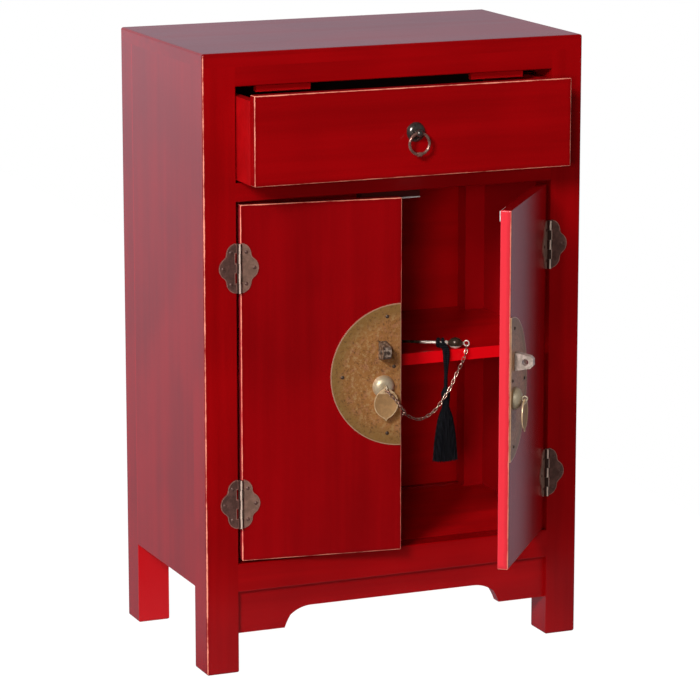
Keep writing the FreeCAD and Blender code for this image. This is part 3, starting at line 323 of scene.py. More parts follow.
# %% Lacquer
DEEP_RED = (0.215, 0.0005, 0.0014, 1)
WARM_RED = (0.300, 0.0006, 0.0018, 1)
BRIGHT_RED = (0.74, 0.002, 0.006, 1)
PALE_RED = (0.70, 0.030, 0.045, 1)
INNER_RED = (0.46, 0.002, 0.005, 1)
RUBBED_WOOD = (0.80, 0.27, 0.18, 1)
EDGE_BAND_DARK = (0.10, 0.0005, 0.001, 1)
GRAIN = {"X": (2.2, 55, 55), "Z": (55, 55, 2.2)}
EDGE_FACE = 0.0012
FACE_BLUR = 0.0003
LACQUER_SHINE = 0.4
LACQUER_ROUGH = 0.19
TONE_RANGE = (0.34, 0.66)
EDGE_BAND_RANGE = (-0.0055, -0.0012)
EDGE_BAND_SHARE = 0.25
EDGE_BAND_RAGGED = 0.004
RUB_RAGGED = 0.0016
RUB_FINE = 0.0004
LACQUER_TONES = (DEEP_RED, WARM_RED)
DOOR_TONES = ((0.180, 0.0005, 0.0016, 1), (0.255, 0.0006, 0.0020, 1))


def face_depth(value, size, side):
    """How deep a point lies under one face of a box, or the nearer of two: 0 on the face, less inside."""
    if side == "both":
        return abs(value) - size
    if side == "low":
        return 0.0 - value - size
    return value - size


def edge_depth(finish, xyz, half, sides):
    """How deep a point lies inside the nearest edge: the middle one of its depths under the faces named."""
    rows = zip(xyz, half, sides)
    depths = [face_depth(value, size, side) for value, size, side in rows if side != "none"]
    least = finish.math("MINIMUM", depths[0], depths[1])
    if len(depths) == 2:
        return least
    most = finish.math("MAXIMUM", depths[0], depths[1])
    return finish.math("MAXIMUM", least, finish.math("MINIMUM", most, depths[2]))


def lacquer(
        name, centre, half, grain, turn=0.0, worn=None, bright=None, tones=LACQUER_TONES, bare_and_lit=BRIGHT_RED):
    """Lacquer for one board. Worn says how hard its edges are rubbed and on which faces, one row for each
    group of edges. Bright gives a wire that is above 0 on a face without glaze, and bare is its colour."""
    finish = Finish(name)
    own = finish.place(centre, turn)
    xyz = finish.parts(own)
    streaks = finish.noise(finish.stretched(own, GRAIN[grain]), scale=1.0, detail=5.0, roughness=0.62)
    clouds = finish.noise(own, scale=7.0, detail=2.0)
    fine = finish.noise(own, scale=420.0, detail=2.0)
    tone = finish.rise(streaks * 0.45 + clouds * 0.55, *TONE_RANGE)
    colour = finish.mix(tone, *tones)
    roughness = LACQUER_ROUGH + streaks * 0.08
    if bright is not None:
        colour = finish.mix(finish.rise(bright(finish, xyz), 0.0, FACE_BLUR), colour, bare_and_lit)
    if worn is not None:
        ragged = finish.noise(own, scale=38.0, detail=4.0, roughness=0.65)
        for wear, sides in worn:
            depth = edge_depth(finish, xyz, half, sides)
            # A darker band runs just inside each worn edge
            edge_band = finish.rise(depth + (ragged - 0.5) * EDGE_BAND_RAGGED, *EDGE_BAND_RANGE)
            colour = finish.mix(edge_band * EDGE_BAND_SHARE, colour, EDGE_BAND_DARK)
            rub = depth + (ragged - 0.5) * RUB_RAGGED * wear + (fine - 0.5) * RUB_FINE
            # A harder rub reaches further in from the edge and bares more wood
            rubbed_and_highlit = finish.rise(rub, -0.0003 - 0.0007 * wear, 0.0001 - 0.0005 * wear)
            colour = finish.mix(rubbed_and_highlit * min(1.0, 0.35 + wear), colour, RUBBED_WOOD)
            roughness = roughness + rubbed_and_highlit * 0.25
    normal = finish.bump(streaks + fine * 0.15, strength=0.08, distance=0.0004)
    return finish.shade(colour, roughness, normal, {"Specular IOR Level": LACQUER_SHINE})


def board_box(name):
    low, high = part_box(name)
    return (low + high) / 2, (high - low) / 2


BOARDS = {
    "top_panel": "X", "top_rail": "X", "divider_rail": "X", "bottom_rail": "X", "rear_bottom_rail": "X",
    "apron": "X", "drawer_front": "X", "side_panel_left": "Z", "side_panel_right": "Z",
    "leg_front_left": "Z", "leg_front_right": "Z", "leg_rear_left": "Z", "leg_rear_right": "Z",
}
WORN = {
    "top_panel": ((0.1, ("none", "low", "high")), (1.5, ("low", "low", "none"))),
    "leg_front_left": ((1.5, ("low", "low", "none")),),
    "drawer_front": ((1.1, ("both", "low", "both")),),
}
for name, grain in BOARDS.items():
    centre, half = board_box(name)
    inward = -1 if centre.x > 0 else 1
    bright = None
    if name.startswith("side_panel"):
        def bright(finish, xyz, inward=inward, reach=half.x - EDGE_FACE):
            return xyz[0] * inward - reach
    if name.startswith("leg_rear"):
        def bright(finish, xyz, inward=inward, reach=half.y - EDGE_FACE):
            return finish.math("MAXIMUM", 0.0 - xyz[1], xyz[0] * inward) - reach
    board_lacquer = lacquer(
        f"lacquer_{name}", centre, half, grain, 0.0, WORN.get(name), bright, bare_and_lit=INNER_RED)
    wear_finish(board_lacquer, name)

DOOR_WORN = {"left": ((1.1, ("both", "low", "both")),), "right": ((1.1, ("both", "low", "low")),)}
for name in ("left", "right"):
    low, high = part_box(f"{name}_door_panel")
    middle = (DOOR_EDGE + DOOR_HINGE_SIDE) / 2
    centre = door_point(name, middle, DOOR_FACE + DOOR_THICKNESS / 2, (low.z + high.z) / 2)
    half = Vector((DOOR_EDGE - middle, DOOR_THICKNESS / 2, (high.z - low.z) / 2))

    def bright(finish, xyz, reach=half.x - EDGE_FACE):
        return abs(xyz[0]) - reach
    door_lacquer = lacquer(
        f"lacquer_{name}_door", centre, half, "Z", door_frame(name)[1], DOOR_WORN[name], bright, DOOR_TONES,
        PALE_RED)
    wear_finish(door_lacquer, f"{name}_door_panel")
print("lacquered", len(BOARDS) + 2, "boards")

# %% [markdown]
# ## Inside paint
# Shelf, floor, back and the small blocks were sprayed red without the dark glaze, so they look brighter
# where light reaches them, most of all the shelf's front edge. The drawer's sides are a little darker, and
# its bottom and back are near black. One thin finish each is enough, with brush marks and blotches.

# %% Inside paint
INSIDE_RED = (0.56, 0.0013, 0.0035, 1)
INSIDE_SHADE = (0.42, 0.0010, 0.0025, 1)
DRAWER_RED = (0.42, 0.0010, 0.0028, 1)
DRAWER_SHADE = (0.32, 0.0009, 0.0022, 1)
DRAWER_BLACK_DARK = (0.004, 0.003, 0.003, 1)
DRAWER_BLACK_LIGHT = (0.014, 0.009, 0.008, 1)


def brushed_paint(name, first, second, roughness):
    finish = Finish(name)
    own = finish.place()
    strokes = finish.noise(finish.stretched(own, (3, 40, 40)), scale=1.0, detail=4.0, roughness=0.6)
    blotches = finish.noise(own, scale=14.0, detail=3.0)
    colour = finish.mix(finish.rise(strokes * 0.6 + blotches * 0.4, 0.35, 0.65), first, second)
    normal = finish.bump(strokes, strength=0.12, distance=0.0004)
    return finish.shade(colour, roughness + strokes * 0.1, normal, {"Specular IOR Level": 0.3})


inside_paint = brushed_paint("inside_paint", INSIDE_SHADE, INSIDE_RED, roughness=0.36)
drawer_side_paint = brushed_paint("drawer_side_paint", DRAWER_SHADE, DRAWER_RED, roughness=0.36)
drawer_near_black = brushed_paint("drawer_near_black", DRAWER_BLACK_DARK, DRAWER_BLACK_LIGHT, roughness=0.5)
wear_finish(
    inside_paint, "back_panel", "bottom_panel", "shelf_batten_left", "shelf_batten_right",
    "drawer_runner_left", "drawer_runner_right", "drawer_stop_blocks")
wear_finish(drawer_side_paint, "drawer_side_left", "drawer_side_right")
wear_finish(drawer_near_black, "drawer_back", "drawer_bottom")
shelf_centre, shelf_half = board_box("shelf")


def shelf_front(finish, xyz):
    return 0.0 - xyz[1] - (shelf_half.y - EDGE_FACE)


shelf_tones = (INSIDE_SHADE, INSIDE_RED)
shelf_paint = lacquer(
    "shelf_paint", shelf_centre, shelf_half, "X", bright=shelf_front, tones=shelf_tones)
wear_finish(shelf_paint, "shelf")
print("painted the inside")

# %% [markdown]
# ## The half-moon plates
# The two plates are sheet brass that has been handled for years: tan, with orange and olive patches, fine
# scratches and brown pits. A pale line along the cut edges is a painted highlight. The patches come from
# noise at several sizes, and the pale line on the arc from the distance to the middle of the half circle.

# %% Plate brass
PLATE_RADIUS = 0.073
PLATE_INSET = 0.0014
PLATE_HEIGHT = 0.29925
GRIME_FROM = PLATE_RADIUS - 0.020
GRIME_TO = PLATE_RADIUS - 0.004
RIM_FROM = PLATE_RADIUS - 0.0012
RIM_TO = PLATE_RADIUS - 0.0006
STRAIGHT_EDGE = (0.0008, 0.0003)
BRASS_TAN = (0.44, 0.186, 0.054, 1)
BRASS_ORANGE = (0.53, 0.228, 0.070, 1)
BRASS_ROSY = (0.54, 0.235, 0.112, 1)
BRASS_OLIVE = (0.32, 0.175, 0.050, 1)
BRASS_PALE = (0.60, 0.37, 0.16, 1)
BRASS_BROWN = (0.17, 0.080, 0.034, 1)
BRASS_EDGE_HIGHLIGHT = (0.72, 0.44, 0.29, 1)


def plate_brass(name, centre, turn):
    finish = Finish(name)
    own = finish.place(centre, turn)
    x, _, z = finish.parts(own)
    large = finish.noise(own, scale=30.0, detail=3.0, roughness=0.6)
    small = finish.noise(own, scale=150.0, detail=4.0, roughness=0.7)
    mottle = finish.noise(own, scale=280.0, detail=4.0, roughness=0.7)
    speck = finish.noise(own, scale=620.0, detail=2.0)
    scratch = finish.noise(finish.stretched(own, (60, 60, 900)), scale=1.0, detail=2.0)
    colour = finish.mix(finish.rise(large, 0.40, 0.62), BRASS_TAN, BRASS_ORANGE)
    colour = finish.mix(finish.rise(small, 0.48, 0.66) * 0.7, colour, BRASS_ROSY)
    colour = finish.mix(finish.rise(mottle, 0.47, 0.36) * 0.7, colour, BRASS_PALE)
    reach = finish.math("SQRT", x * x + z * z)
    grime = finish.rise(reach + (large - 0.5) * 0.03, GRIME_FROM, GRIME_TO)
    colour = finish.mix(grime * 0.75, colour, BRASS_OLIVE)
    colour = finish.mix(finish.rise(speck * 0.4 + mottle * 0.6, 0.52, 0.64) * 0.75, colour, BRASS_BROWN)
    # Painted highlight: a pale line along the arc of the cut edge and along the straight edge
    rim = finish.rise(reach, RIM_FROM, RIM_TO)
    straight = finish.rise(abs(x), *STRAIGHT_EDGE)
    rubbed_and_highlit = finish.math("MAXIMUM", rim, straight * 0.6)
    colour = finish.mix(rubbed_and_highlit * 0.85, colour, BRASS_EDGE_HIGHLIGHT)
    roughness = 0.46 + small * 0.16 - rubbed_and_highlit * 0.12
    skin = small * 0.5 + speck * 0.3 + scratch * 0.4
    normal = finish.bump(skin, strength=0.18, distance=0.0006)
    constants = {"Metallic": 0.55, "Coat Weight": 0.5, "Coat Roughness": 0.2}
    return finish.shade(colour, roughness, normal, constants)


for name in ("left", "right"):
    centre = door_point(name, DOOR_EDGE - PLATE_INSET, DOOR_FACE, PLATE_HEIGHT)
    wear_finish(plate_brass(f"plate_brass_{name}", centre, door_frame(name)[1]), f"{name}_half_moon_plate")
print("half-moon plates in patinated brass")

# %% [markdown]
# ## Dark bronze and bright brass
# Nails and the drawer's pull are cast and chemically darkened, then polished by hands. The rosettes and
# eyes are pale brass, and the catch's plates are steel. One recipe with two colours and a grain of its own
# covers them all: noise picks between the colours, and fine noise roughens the skin.

# %% Cast metals
def cast_metal(name, dark, light, roughness, metallic, grain, skin):
    finish = Finish(name)
    own = finish.place()
    patches = finish.noise(own, scale=grain, detail=4.0, roughness=0.62)
    pits = finish.noise(own, scale=grain * 6, detail=3.0, roughness=0.6)
    colour = finish.mix(finish.rise(patches * 0.7 + pits * 0.3, 0.40, 0.62), dark, light)
    normal = finish.bump(pits, strength=skin, distance=0.0005)
    return finish.shade(colour, roughness + pits * 0.14, normal, {"Metallic": metallic})


DARK_BROWN = (0.045, 0.026, 0.018, 1)
DARK_BROWN_WORN = (0.11, 0.070, 0.048, 1)
GUNMETAL = (0.10, 0.085, 0.075, 1)
GUNMETAL_WORN = (0.22, 0.185, 0.165, 1)
RING_BRONZE = (0.26, 0.125, 0.100, 1)
RING_BRONZE_WORN = (0.46, 0.255, 0.205, 1)
CREAM_BRASS = (0.58, 0.46, 0.30, 1)
CREAM_BRASS_PALE = (0.70, 0.59, 0.42, 1)
STEEL_DARK = (0.58, 0.56, 0.54, 1)
STEEL_LIGHT = (0.86, 0.84, 0.81, 1)

nail_bronze = cast_metal(
    "nail_bronze", DARK_BROWN, DARK_BROWN_WORN, roughness=0.38, metallic=0.5, grain=210.0, skin=0.15)
pull_gunmetal = cast_metal(
    "pull_gunmetal", GUNMETAL, GUNMETAL_WORN, roughness=0.16, metallic=0.85, grain=160.0, skin=0.04)
ring_bronze = cast_metal(
    "ring_bronze", RING_BRONZE, RING_BRONZE_WORN, roughness=0.20, metallic=0.7, grain=210.0, skin=0.05)
cream_brass = cast_metal(
    "cream_brass", CREAM_BRASS, CREAM_BRASS_PALE, roughness=0.42, metallic=0.62, grain=70.0, skin=0.0)
catch_steel = cast_metal(
    "catch_steel", STEEL_DARK, STEEL_LIGHT, roughness=0.34, metallic=0.3, grain=300.0, skin=0.08)
wear_finish(nail_bronze, "left_plate_nails", "right_plate_nails")
wear_finish(pull_gunmetal, "drawer_rosette", "drawer_ring_post")
wear_finish(ring_bronze, "drawer_ring")
wear_finish(cream_brass, "left_rosette", "right_rosette", "left_eye_pin", "right_eye_pin")
wear_finish(catch_steel, "catch_pole_plates", "left_strike_plate", "right_strike_plate")
print("bronze, brass and steel on the fittings")

# %% [markdown]
# ## The lock eyes
# Each plate carries a cast lug with a hole for the lock pin, dark brown and patchy on its sloping top. Its
# sides and outer end carry painted light: pale brass on the right lug, and on the left one a brown darker
# than the top, as painted shade. A lug turns with its door, so its finish is laid out from the hinge axis
# and the lug's own level: the top falls with the reach, and a point above a line just under it is on the
# top.

# %% Lock eyes
LUG_BROWN = (0.10, 0.055, 0.048, 1)
LUG_BROWN_WORN = (0.24, 0.150, 0.130, 1)
LUG_SIDE_LIGHT = {"left": (0.060, 0.038, 0.029, 1), "right": (0.46, 0.36, 0.30, 1)}
LUG_SIDE_LIGHT_WORN = {"left": (0.36, 0.265, 0.205, 1), "right": (0.68, 0.53, 0.46, 1)}
LUG_LEVEL = 0.32525
LUG_TOP = 0.0086
LUG_SLOPE = 0.194
LUG_TOP_END = 0.0125
LUG_PATCHES = (0.42, 0.66)
LUG_RAGGED = 0.0006
LUG_BLUR = (-0.0002, 0.0003)

for name in ("left", "right"):
    hinge, turn, _ = door_frame(name)
    lug = Finish(f"lug_bronze_{name}")
    own = lug.place(hinge, turn)
    _, y, z = lug.parts(own)
    patches = lug.noise(own, scale=320.0, detail=3.0)
    colour = lug.mix(lug.rise(patches, *LUG_PATCHES), LUG_BROWN, LUG_BROWN_WORN)
    # Painted light on the sides and end: pale on the right lug, dark as painted shade on the left
    pale = lug.mix(lug.rise(patches, *LUG_PATCHES), LUG_SIDE_LIGHT[name], LUG_SIDE_LIGHT_WORN[name])
    under = LUG_TOP + y * LUG_SLOPE - (z - LUG_LEVEL)
    ended = 0.0 - y - LUG_TOP_END
    bare_and_lit = lug.math("MAXIMUM", under, ended) + (patches - 0.5) * LUG_RAGGED
    colour = lug.mix(lug.rise(bare_and_lit, *LUG_BLUR), colour, pale)
    wear_finish(lug.shade(colour, 0.28 + patches * 0.12, None, {"Metallic": 0.35}), f"{name}_lug")
print("lock eyes, one patchy and one pale with a dark top")

# %% [markdown]
# ## The catch's plastic case
# Between its two steel plates the magnetic catch has a moulded case of dark red-brown plastic. Moulded
# plastic is even in colour with a fine spark-eroded grain, so most of its look is in the bump.

# %% Catch case
CASE_DARK = (0.030, 0.004, 0.004, 1)
CASE_LIGHT = (0.055, 0.008, 0.007, 1)

case = Finish("catch_plastic")
own = case.place()
mould = case.noise(own, scale=900.0, detail=2.0)
cast = case.noise(own, scale=45.0, detail=2.0)
case_colour = case.mix(cast, CASE_DARK, CASE_LIGHT)
case_skin = case.bump(mould, strength=0.15, distance=0.0003)
wear_finish(case.shade(case_colour, 0.38 + mould * 0.15, case_skin), "catch_body")
print("catch case in red-brown plastic")

# %% [markdown]
# ## The lock pin
# The pin is one turned piece: a bright plated rod and collar, and a dark bronze handle whose belly takes
# the plating's colour as a painted highlight. Its tip is painted dark as painted shade. It lies turned on
# the shelf, so its finish is laid out along its own length.

# %% Lock pin
PIN_TURN = math.radians(-31)
PIN_COLLAR = Vector((0.0687, -0.020221, 0.3151))
COLLAR_END = 0.0034
HANDLE_END = 0.0191
TIP_SHADE_FROM = -0.0245
HANDLE_BELLY = -0.0026
PLATING_AND_HIGHLIGHT = ((0.70, 0.56, 0.46, 1), (0.95, 0.86, 0.76, 1))
HANDLE_BRONZE = ((0.020, 0.013, 0.009, 1), (0.09, 0.055, 0.035, 1))

pin = Finish("lock_pin_metal")
own = pin.place(PIN_COLLAR, PIN_TURN)
x, _, z = pin.parts(own)
tarnish = pin.noise(own, scale=240.0, detail=3.0)
handle = pin.rise(x, COLLAR_END - 0.0004, COLLAR_END + 0.0006)
handle = handle * pin.rise(x, HANDLE_END + 0.0008, HANDLE_END - 0.0006)
# Painted highlight: below this line the handle keeps the plating's bright colour
above_belly = handle * pin.rise(z, HANDLE_BELLY - 0.0004, HANDLE_BELLY + 0.0004)
# Painted shade: the rod darkens towards its tip
shaded_tip = pin.rise(x, TIP_SHADE_FROM + 0.002, TIP_SHADE_FROM - 0.002)
dark = pin.math("MAXIMUM", above_belly, shaded_tip)
bright_metal = pin.mix(tarnish, *PLATING_AND_HIGHLIGHT)
dark_metal = pin.mix(tarnish, *HANDLE_BRONZE)
pin_colour = pin.mix(dark, bright_metal, dark_metal)
wear_finish(pin.shade(pin_colour, 0.22 + tarnish * 0.12, None, {"Metallic": 0.45}), "lock_pin")
print("lock pin in two tones")

# %% [markdown]
# ## Rims on pendants and hinges
# Each pull is a leaf of sheet brass with a narrow raised rim, its paler brass a painted highlight, and each
# hinge leaf has a fine bright line round its outline, also a painted highlight. The solids have the right
# outlines and thickness but no rims. So a copy of each mesh is joined up, its flat faces are inset, a
# pendant's also sunk a little, and rim and field take two finishes. A pendant's collar round its hole is
# too narrow for two rims, so the field stops below it.

# %% Tools for rims
WELD = 1e-6
# A face looks a given way when its normal along that way is above this
FLAT_ON = 0.999
SMOOTH_ANGLE = math.radians(35)


def start_editing(piece):
    bpy.ops.object.select_all(action="DESELECT")
    piece.select_set(True)
    bpy.context.view_layer.objects.active = piece
    bpy.ops.object.mode_set(mode="EDIT")


def joined_copy(node_name, piece_name):
    """A new piece from a node's mesh, with its loose triangles joined, left in edit mode."""
    piece = bpy.data.objects.new(piece_name, nodes[node_name].data.copy())
    bpy.context.scene.collection.objects.link(piece)
    piece.data.materials.clear()
    start_editing(piece)
    bpy.ops.mesh.select_all(action="SELECT")
    bpy.ops.mesh.customdata_custom_splitnormals_clear()
    bpy.ops.mesh.remove_doubles(threshold=WELD)
    return piece


def select_faces(piece, wanted):
    """Select the faces that a test of their normal and middle accepts."""
    bpy.ops.mesh.select_mode(type="FACE")
    bpy.ops.mesh.select_all(action="DESELECT")
    bpy.ops.object.mode_set(mode="OBJECT")
    for face in piece.data.polygons:
        face.select = wanted(face.normal, face.center)
    bpy.ops.object.mode_set(mode="EDIT")


def inset_field(piece, width, depth):
    """Inset the selected faces and give the field inside the rim the piece's second finish."""
    bpy.ops.mesh.inset(thickness=width, depth=-depth, use_boundary=True, use_even_offset=True)
    piece.active_material_index = 1
    bpy.ops.object.material_slot_assign()


def apply_modifier(piece, kind, **settings):
    modifier = piece.modifiers.new(kind.lower(), kind)
    for name, value in settings.items():
        setattr(modifier, name, value)
    bpy.context.view_layer.objects.active = piece
    bpy.ops.object.modifier_apply(modifier=modifier.name)


print("tools for rims are ready")

# %% Pendants
PENDANT_RIM = 0.0009
PENDANT_SINK = 0.0003
RIM_ROUND = 0.00018
SLIVER = 0.00001
FIELD_TOP = 0.0048
BEVEL_ANGLE = math.radians(40)
# Painted highlight: the rim's paler brass
RIM_HIGHLIGHT_BRASS = ((0.55, 0.36, 0.19, 1), (0.72, 0.52, 0.31, 1))
FIELD_BRASS = ((0.35, 0.195, 0.082, 1), (0.44, 0.24, 0.10, 1))

pendant_rim_highlight = cast_metal(
    "pendant_rim_highlight", *RIM_HIGHLIGHT_BRASS, roughness=0.28, metallic=0.3, grain=150.0, skin=0.05)
pendant_field = cast_metal(
    "pendant_field", *FIELD_BRASS, roughness=0.45, metallic=0.3, grain=170.0, skin=0.1)
for name in ("left", "right"):
    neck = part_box(f"{name}_pendant")[1].z - FIELD_TOP
    piece = joined_copy(f"{name}_pendant", f"{name}_pendant_leaf")
    bpy.ops.mesh.bisect(plane_co=(0, 0, neck), plane_no=(0, 0, 1))
    piece.data.materials.append(pendant_rim_highlight)
    piece.data.materials.append(pendant_field)
    outward = Matrix.Rotation(door_frame(name)[1], 3, "Z") @ Vector((0, -1, 0))
    for facing in (outward, -outward):
        select_faces(piece, lambda normal, middle: normal.dot(facing) > FLAT_ON and middle.z < neck)
        inset_field(piece, PENDANT_RIM, PENDANT_SINK)
    bpy.ops.object.mode_set(mode="OBJECT")
    apply_modifier(
        piece, "BEVEL", width=RIM_ROUND, segments=2, limit_method="ANGLE", angle_limit=BEVEL_ANGLE)
    start_editing(piece)
    bpy.ops.mesh.select_all(action="SELECT")
    bpy.ops.mesh.dissolve_degenerate(threshold=SLIVER)
    bpy.ops.object.mode_set(mode="OBJECT")
    bpy.ops.object.shade_smooth_by_angle(angle=SMOOTH_ANGLE)
    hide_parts(f"{name}_pendant")
    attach(piece, f"{name}_pendant")
    print(piece.name, "has", len(piece.data.polygons), "faces")

# %% [markdown]
# ## The hinges
# A hinge is two lobed leaves of brown bronze that meet at a barrel. A narrow cream strip along the barrel's
# front is a painted highlight, and the leaf on the frame is painted darker than the leaf on the door, as
# painted shade. Each leaf gets its rim, and the strip is picked out by its place from the hinge axis.

# %% Hinges
HINGE_RIM = 0.0007
BARREL_REACH = 0.0016
STRIP_HALF = 0.0009
# The rim tones are a painted highlight round each leaf's outline
HINGE_RIM_HIGHLIGHT_TONES = ((0.26, 0.105, 0.085, 1), (0.40, 0.19, 0.15, 1))
BARREL_BROWN = (0.050, 0.024, 0.019, 1)
BARREL_HIGHLIGHT = (0.84, 0.62, 0.50, 1)
# The frame leaf's tones are darker than the door leaf's, as painted shade
LEAF_TONES = {
    "frame": ((0.085, 0.040, 0.032, 1), (0.145, 0.068, 0.055, 1)),
    "door": ((0.19, 0.105, 0.076, 1), (0.28, 0.155, 0.115, 1)),
}


def hinge_bronze(name, hinge, lean, tones):
    """Brown bronze with a painted highlight, a cream strip along the front of a dark barrel."""
    finish = Finish(name)
    own = finish.place(hinge, lean)
    x, y, _ = finish.parts(own)
    patches = finish.noise(own, scale=150.0, detail=4.0, roughness=0.62)
    pits = finish.noise(own, scale=800.0, detail=2.0)
    colour = finish.mix(finish.rise(patches * 0.75 + pits * 0.25, 0.38, 0.62), *tones)
    barrel = finish.rise(0.0 - y, 0.0 - BARREL_REACH - 0.0001, 0.0001 - BARREL_REACH)
    colour = finish.mix(barrel, colour, BARREL_BROWN)
    # Painted highlight: a cream strip down the front of the barrel
    strip = finish.rise(abs(x) + (patches - 0.5) * 0.0008, STRIP_HALF + 0.0002, STRIP_HALF - 0.0002)
    colour = finish.mix(barrel * strip * 0.95, colour, BARREL_HIGHLIGHT)
    normal = finish.bump(pits, strength=0.1, distance=0.0004)
    return finish.shade(colour, 0.32 + pits * 0.14, normal, {"Metallic": 0.3})


# Painted highlight: the pale ring round the hinge leaves' outline
hinge_rim_highlight = cast_metal(
    "hinge_rim_highlight", *HINGE_RIM_HIGHLIGHT_TONES, roughness=0.32, metallic=0.3, grain=240.0, skin=0.05)
# The nails and pins take the frame leaf's darker tones, painted shade included
hinge_nail_bronze = cast_metal(
    "hinge_nail_bronze", *LEAF_TONES["frame"], roughness=0.35, metallic=0.3, grain=150.0, skin=0.1)
wear_finish(
    hinge_nail_bronze, "frame_hinge_nails", "left_door_hinge_nails", "right_door_hinge_nails",
    "hinge_pins")
for name in ("left", "right"):
    hinge, turn, _ = door_frame(name)
    for part, lean in (("frame", 0.0), ("door", turn)):
        piece = joined_copy(f"{name}_{part}_hinge_leaves", f"{name}_{part}_hinge_leaf_pair")
        leaf_bronze = hinge_bronze(f"hinge_bronze_{name}_{part}", hinge, lean, LEAF_TONES[part])
        piece.data.materials.append(leaf_bronze)
        piece.data.materials.append(hinge_rim_highlight)
        outward = Matrix.Rotation(lean, 3, "Z") @ Vector((0, -1, 0))
        select_faces(
            piece,
            lambda normal, middle: normal.dot(outward) > FLAT_ON and (middle - hinge).dot(outward) < 0)
        piece.active_material_index = 1
        bpy.ops.object.material_slot_assign()
        bpy.ops.mesh.inset(thickness=HINGE_RIM, depth=0, use_boundary=True, use_even_offset=True)
        piece.active_material_index = 0
        bpy.ops.object.material_slot_assign()
        bpy.ops.object.mode_set(mode="OBJECT")
        bpy.ops.object.shade_smooth_by_angle(angle=SMOOTH_ANGLE)
        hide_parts(f"{name}_{part}_hinge_leaves")
        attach(piece, "cabinet" if part == "frame" else f"{name}_door")
        print(piece.name, "has", len(piece.data.polygons), "faces")

# %% [markdown]
# ## The chain
# The chain hangs from the left pull to the eye of the pin. A rigid part can't let a chain swing. Here its
# links are the solid's own, shared out in three pieces by where they lie along X: one over the pull's
# pendant, a long one towards the door, and a last one by the pin.

# %% Chain
PULL_SPLIT = -0.0036
CHAIN_SPLIT = 0.0735
CHAIN_TONES = ((0.22, 0.10, 0.07, 1), (0.98, 0.71, 0.57, 1))

chain_brass = cast_metal(
    "chain_brass", *CHAIN_TONES, roughness=0.18, metallic=0.8, grain=330.0, skin=0.05)
joined_copy("lock_chain", "chain_to_door")
bpy.ops.mesh.separate(type="LOOSE")
bpy.ops.object.mode_set(mode="OBJECT")
links = [piece for piece in bpy.context.selected_objects if piece.type == "MESH"]


def middle_of(piece):
    corners = [Vector(corner) for corner in piece.bound_box]
    return sum(corners, Vector()) / len(corners)


def gathered(pieces, name):
    """Join pieces into one object of that name."""
    bpy.ops.object.select_all(action="DESELECT")
    for piece in pieces:
        piece.select_set(True)
    bpy.context.view_layer.objects.active = pieces[0]
    if len(pieces) > 1:
        bpy.ops.object.join()
    joined = bpy.context.view_layer.objects.active
    joined.name = name
    joined.data.name = name
    return joined


over = [link for link in links if middle_of(link).x < PULL_SPLIT]
near = [link for link in links if PULL_SPLIT <= middle_of(link).x < CHAIN_SPLIT]
far = [link for link in links if middle_of(link).x >= CHAIN_SPLIT]
print("chain of", len(over), "and", len(near), "and", len(far), "links")
pull_chain = gathered(over, "chain_over_pull")
bpy.ops.object.shade_smooth()
near_chain = gathered(near, "chain_to_door")
bpy.ops.object.shade_smooth()
far_chain = gathered(far, "chain_to_pin")
bpy.ops.object.shade_smooth()
for piece in (pull_chain, near_chain, far_chain):
    piece.data.materials.clear()
    piece.data.materials.append(chain_brass)
    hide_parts("lock_chain")
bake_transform(pull_chain)
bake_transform(near_chain)
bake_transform(far_chain)

# %% [markdown]
# ## The tassel's cord
# A limp black cord is hitched round the pin, lies over the shelf's edge and hangs straight under the
# tassel's weight. A curve with a few control points and a round bevel gives one smooth line: along the
# shelf, over the edge and down. Its twist is a slanted ripple in the finish. The hitch is two turns of cord
# round the rod, and two short strands that run from them together into the cord.

# %% Tassel cord
CORD_RADIUS = 0.002
CORD_X = 0.06527
CORD_POINTS = (
    (CORD_X, -0.01986, 0.3112), (CORD_X, -0.02352, 0.3120), (CORD_X, -0.03122, 0.3118),
    (CORD_X, -0.03162, 0.3025), (CORD_X, -0.03142, 0.2710),
)
BLACK_THREAD = (0.0010, 0.0010, 0.0015, 1)
GREY_THREAD = (0.0100, 0.0100, 0.0140, 1)


def twisted_thread(name, slant, scale, bands="Z"):
    """Black rayon with a slanted twist."""
    finish = Finish(name)
    own = finish.place()
    settings = {"wave_type": "BANDS", "bands_direction": bands, "wave_profile": "SIN"}
    sockets = {"Vector": finish.stretched(own, slant), "Scale": scale, "Distortion": 1.2, "Detail": 2.0}
    twist = finish.node("ShaderNodeTexWave", settings, sockets, 1)
    fluff = finish.noise(own, scale=900.0, detail=3.0)
    colour = finish.mix(finish.rise(twist * 0.5 + fluff * 0.5, 0.35, 0.75), BLACK_THREAD, GREY_THREAD)
    normal = finish.bump(twist + fluff * 0.4, strength=0.5, distance=0.0005)
    constants = {"Specular IOR Level": 0.12, "Sheen Weight": 0.02, "Sheen Roughness": 0.4}
    return finish.shade(colour, 0.6 + fluff * 0.2, normal, constants)


def thread_curve(name, radius, roundness):
    """An empty curve with a round bevel, in the scene."""
    line = bpy.data.curves.new(name, "CURVE")
    line.dimensions = "3D"
    line.bevel_depth = radius
    line.bevel_resolution = roundness
    line.use_fill_caps = True
    piece = bpy.data.objects.new(name, line)
    bpy.context.scene.collection.objects.link(piece)
    return piece


def add_strand(piece, kind, spots):
    strand = piece.data.splines.new(kind)
    strand.points.add(len(spots) - 1)
    for point, spot in zip(strand.points, spots):
        point.co = (*spot, 1)
    if kind == "NURBS":
        strand.order_u = 3
        strand.use_endpoint_u = True
        strand.resolution_u = 12


def as_mesh(piece):
    bpy.ops.object.select_all(action="DESELECT")
    piece.select_set(True)
    bpy.context.view_layer.objects.active = piece
    bpy.ops.object.convert(target="MESH")
    return bpy.context.object


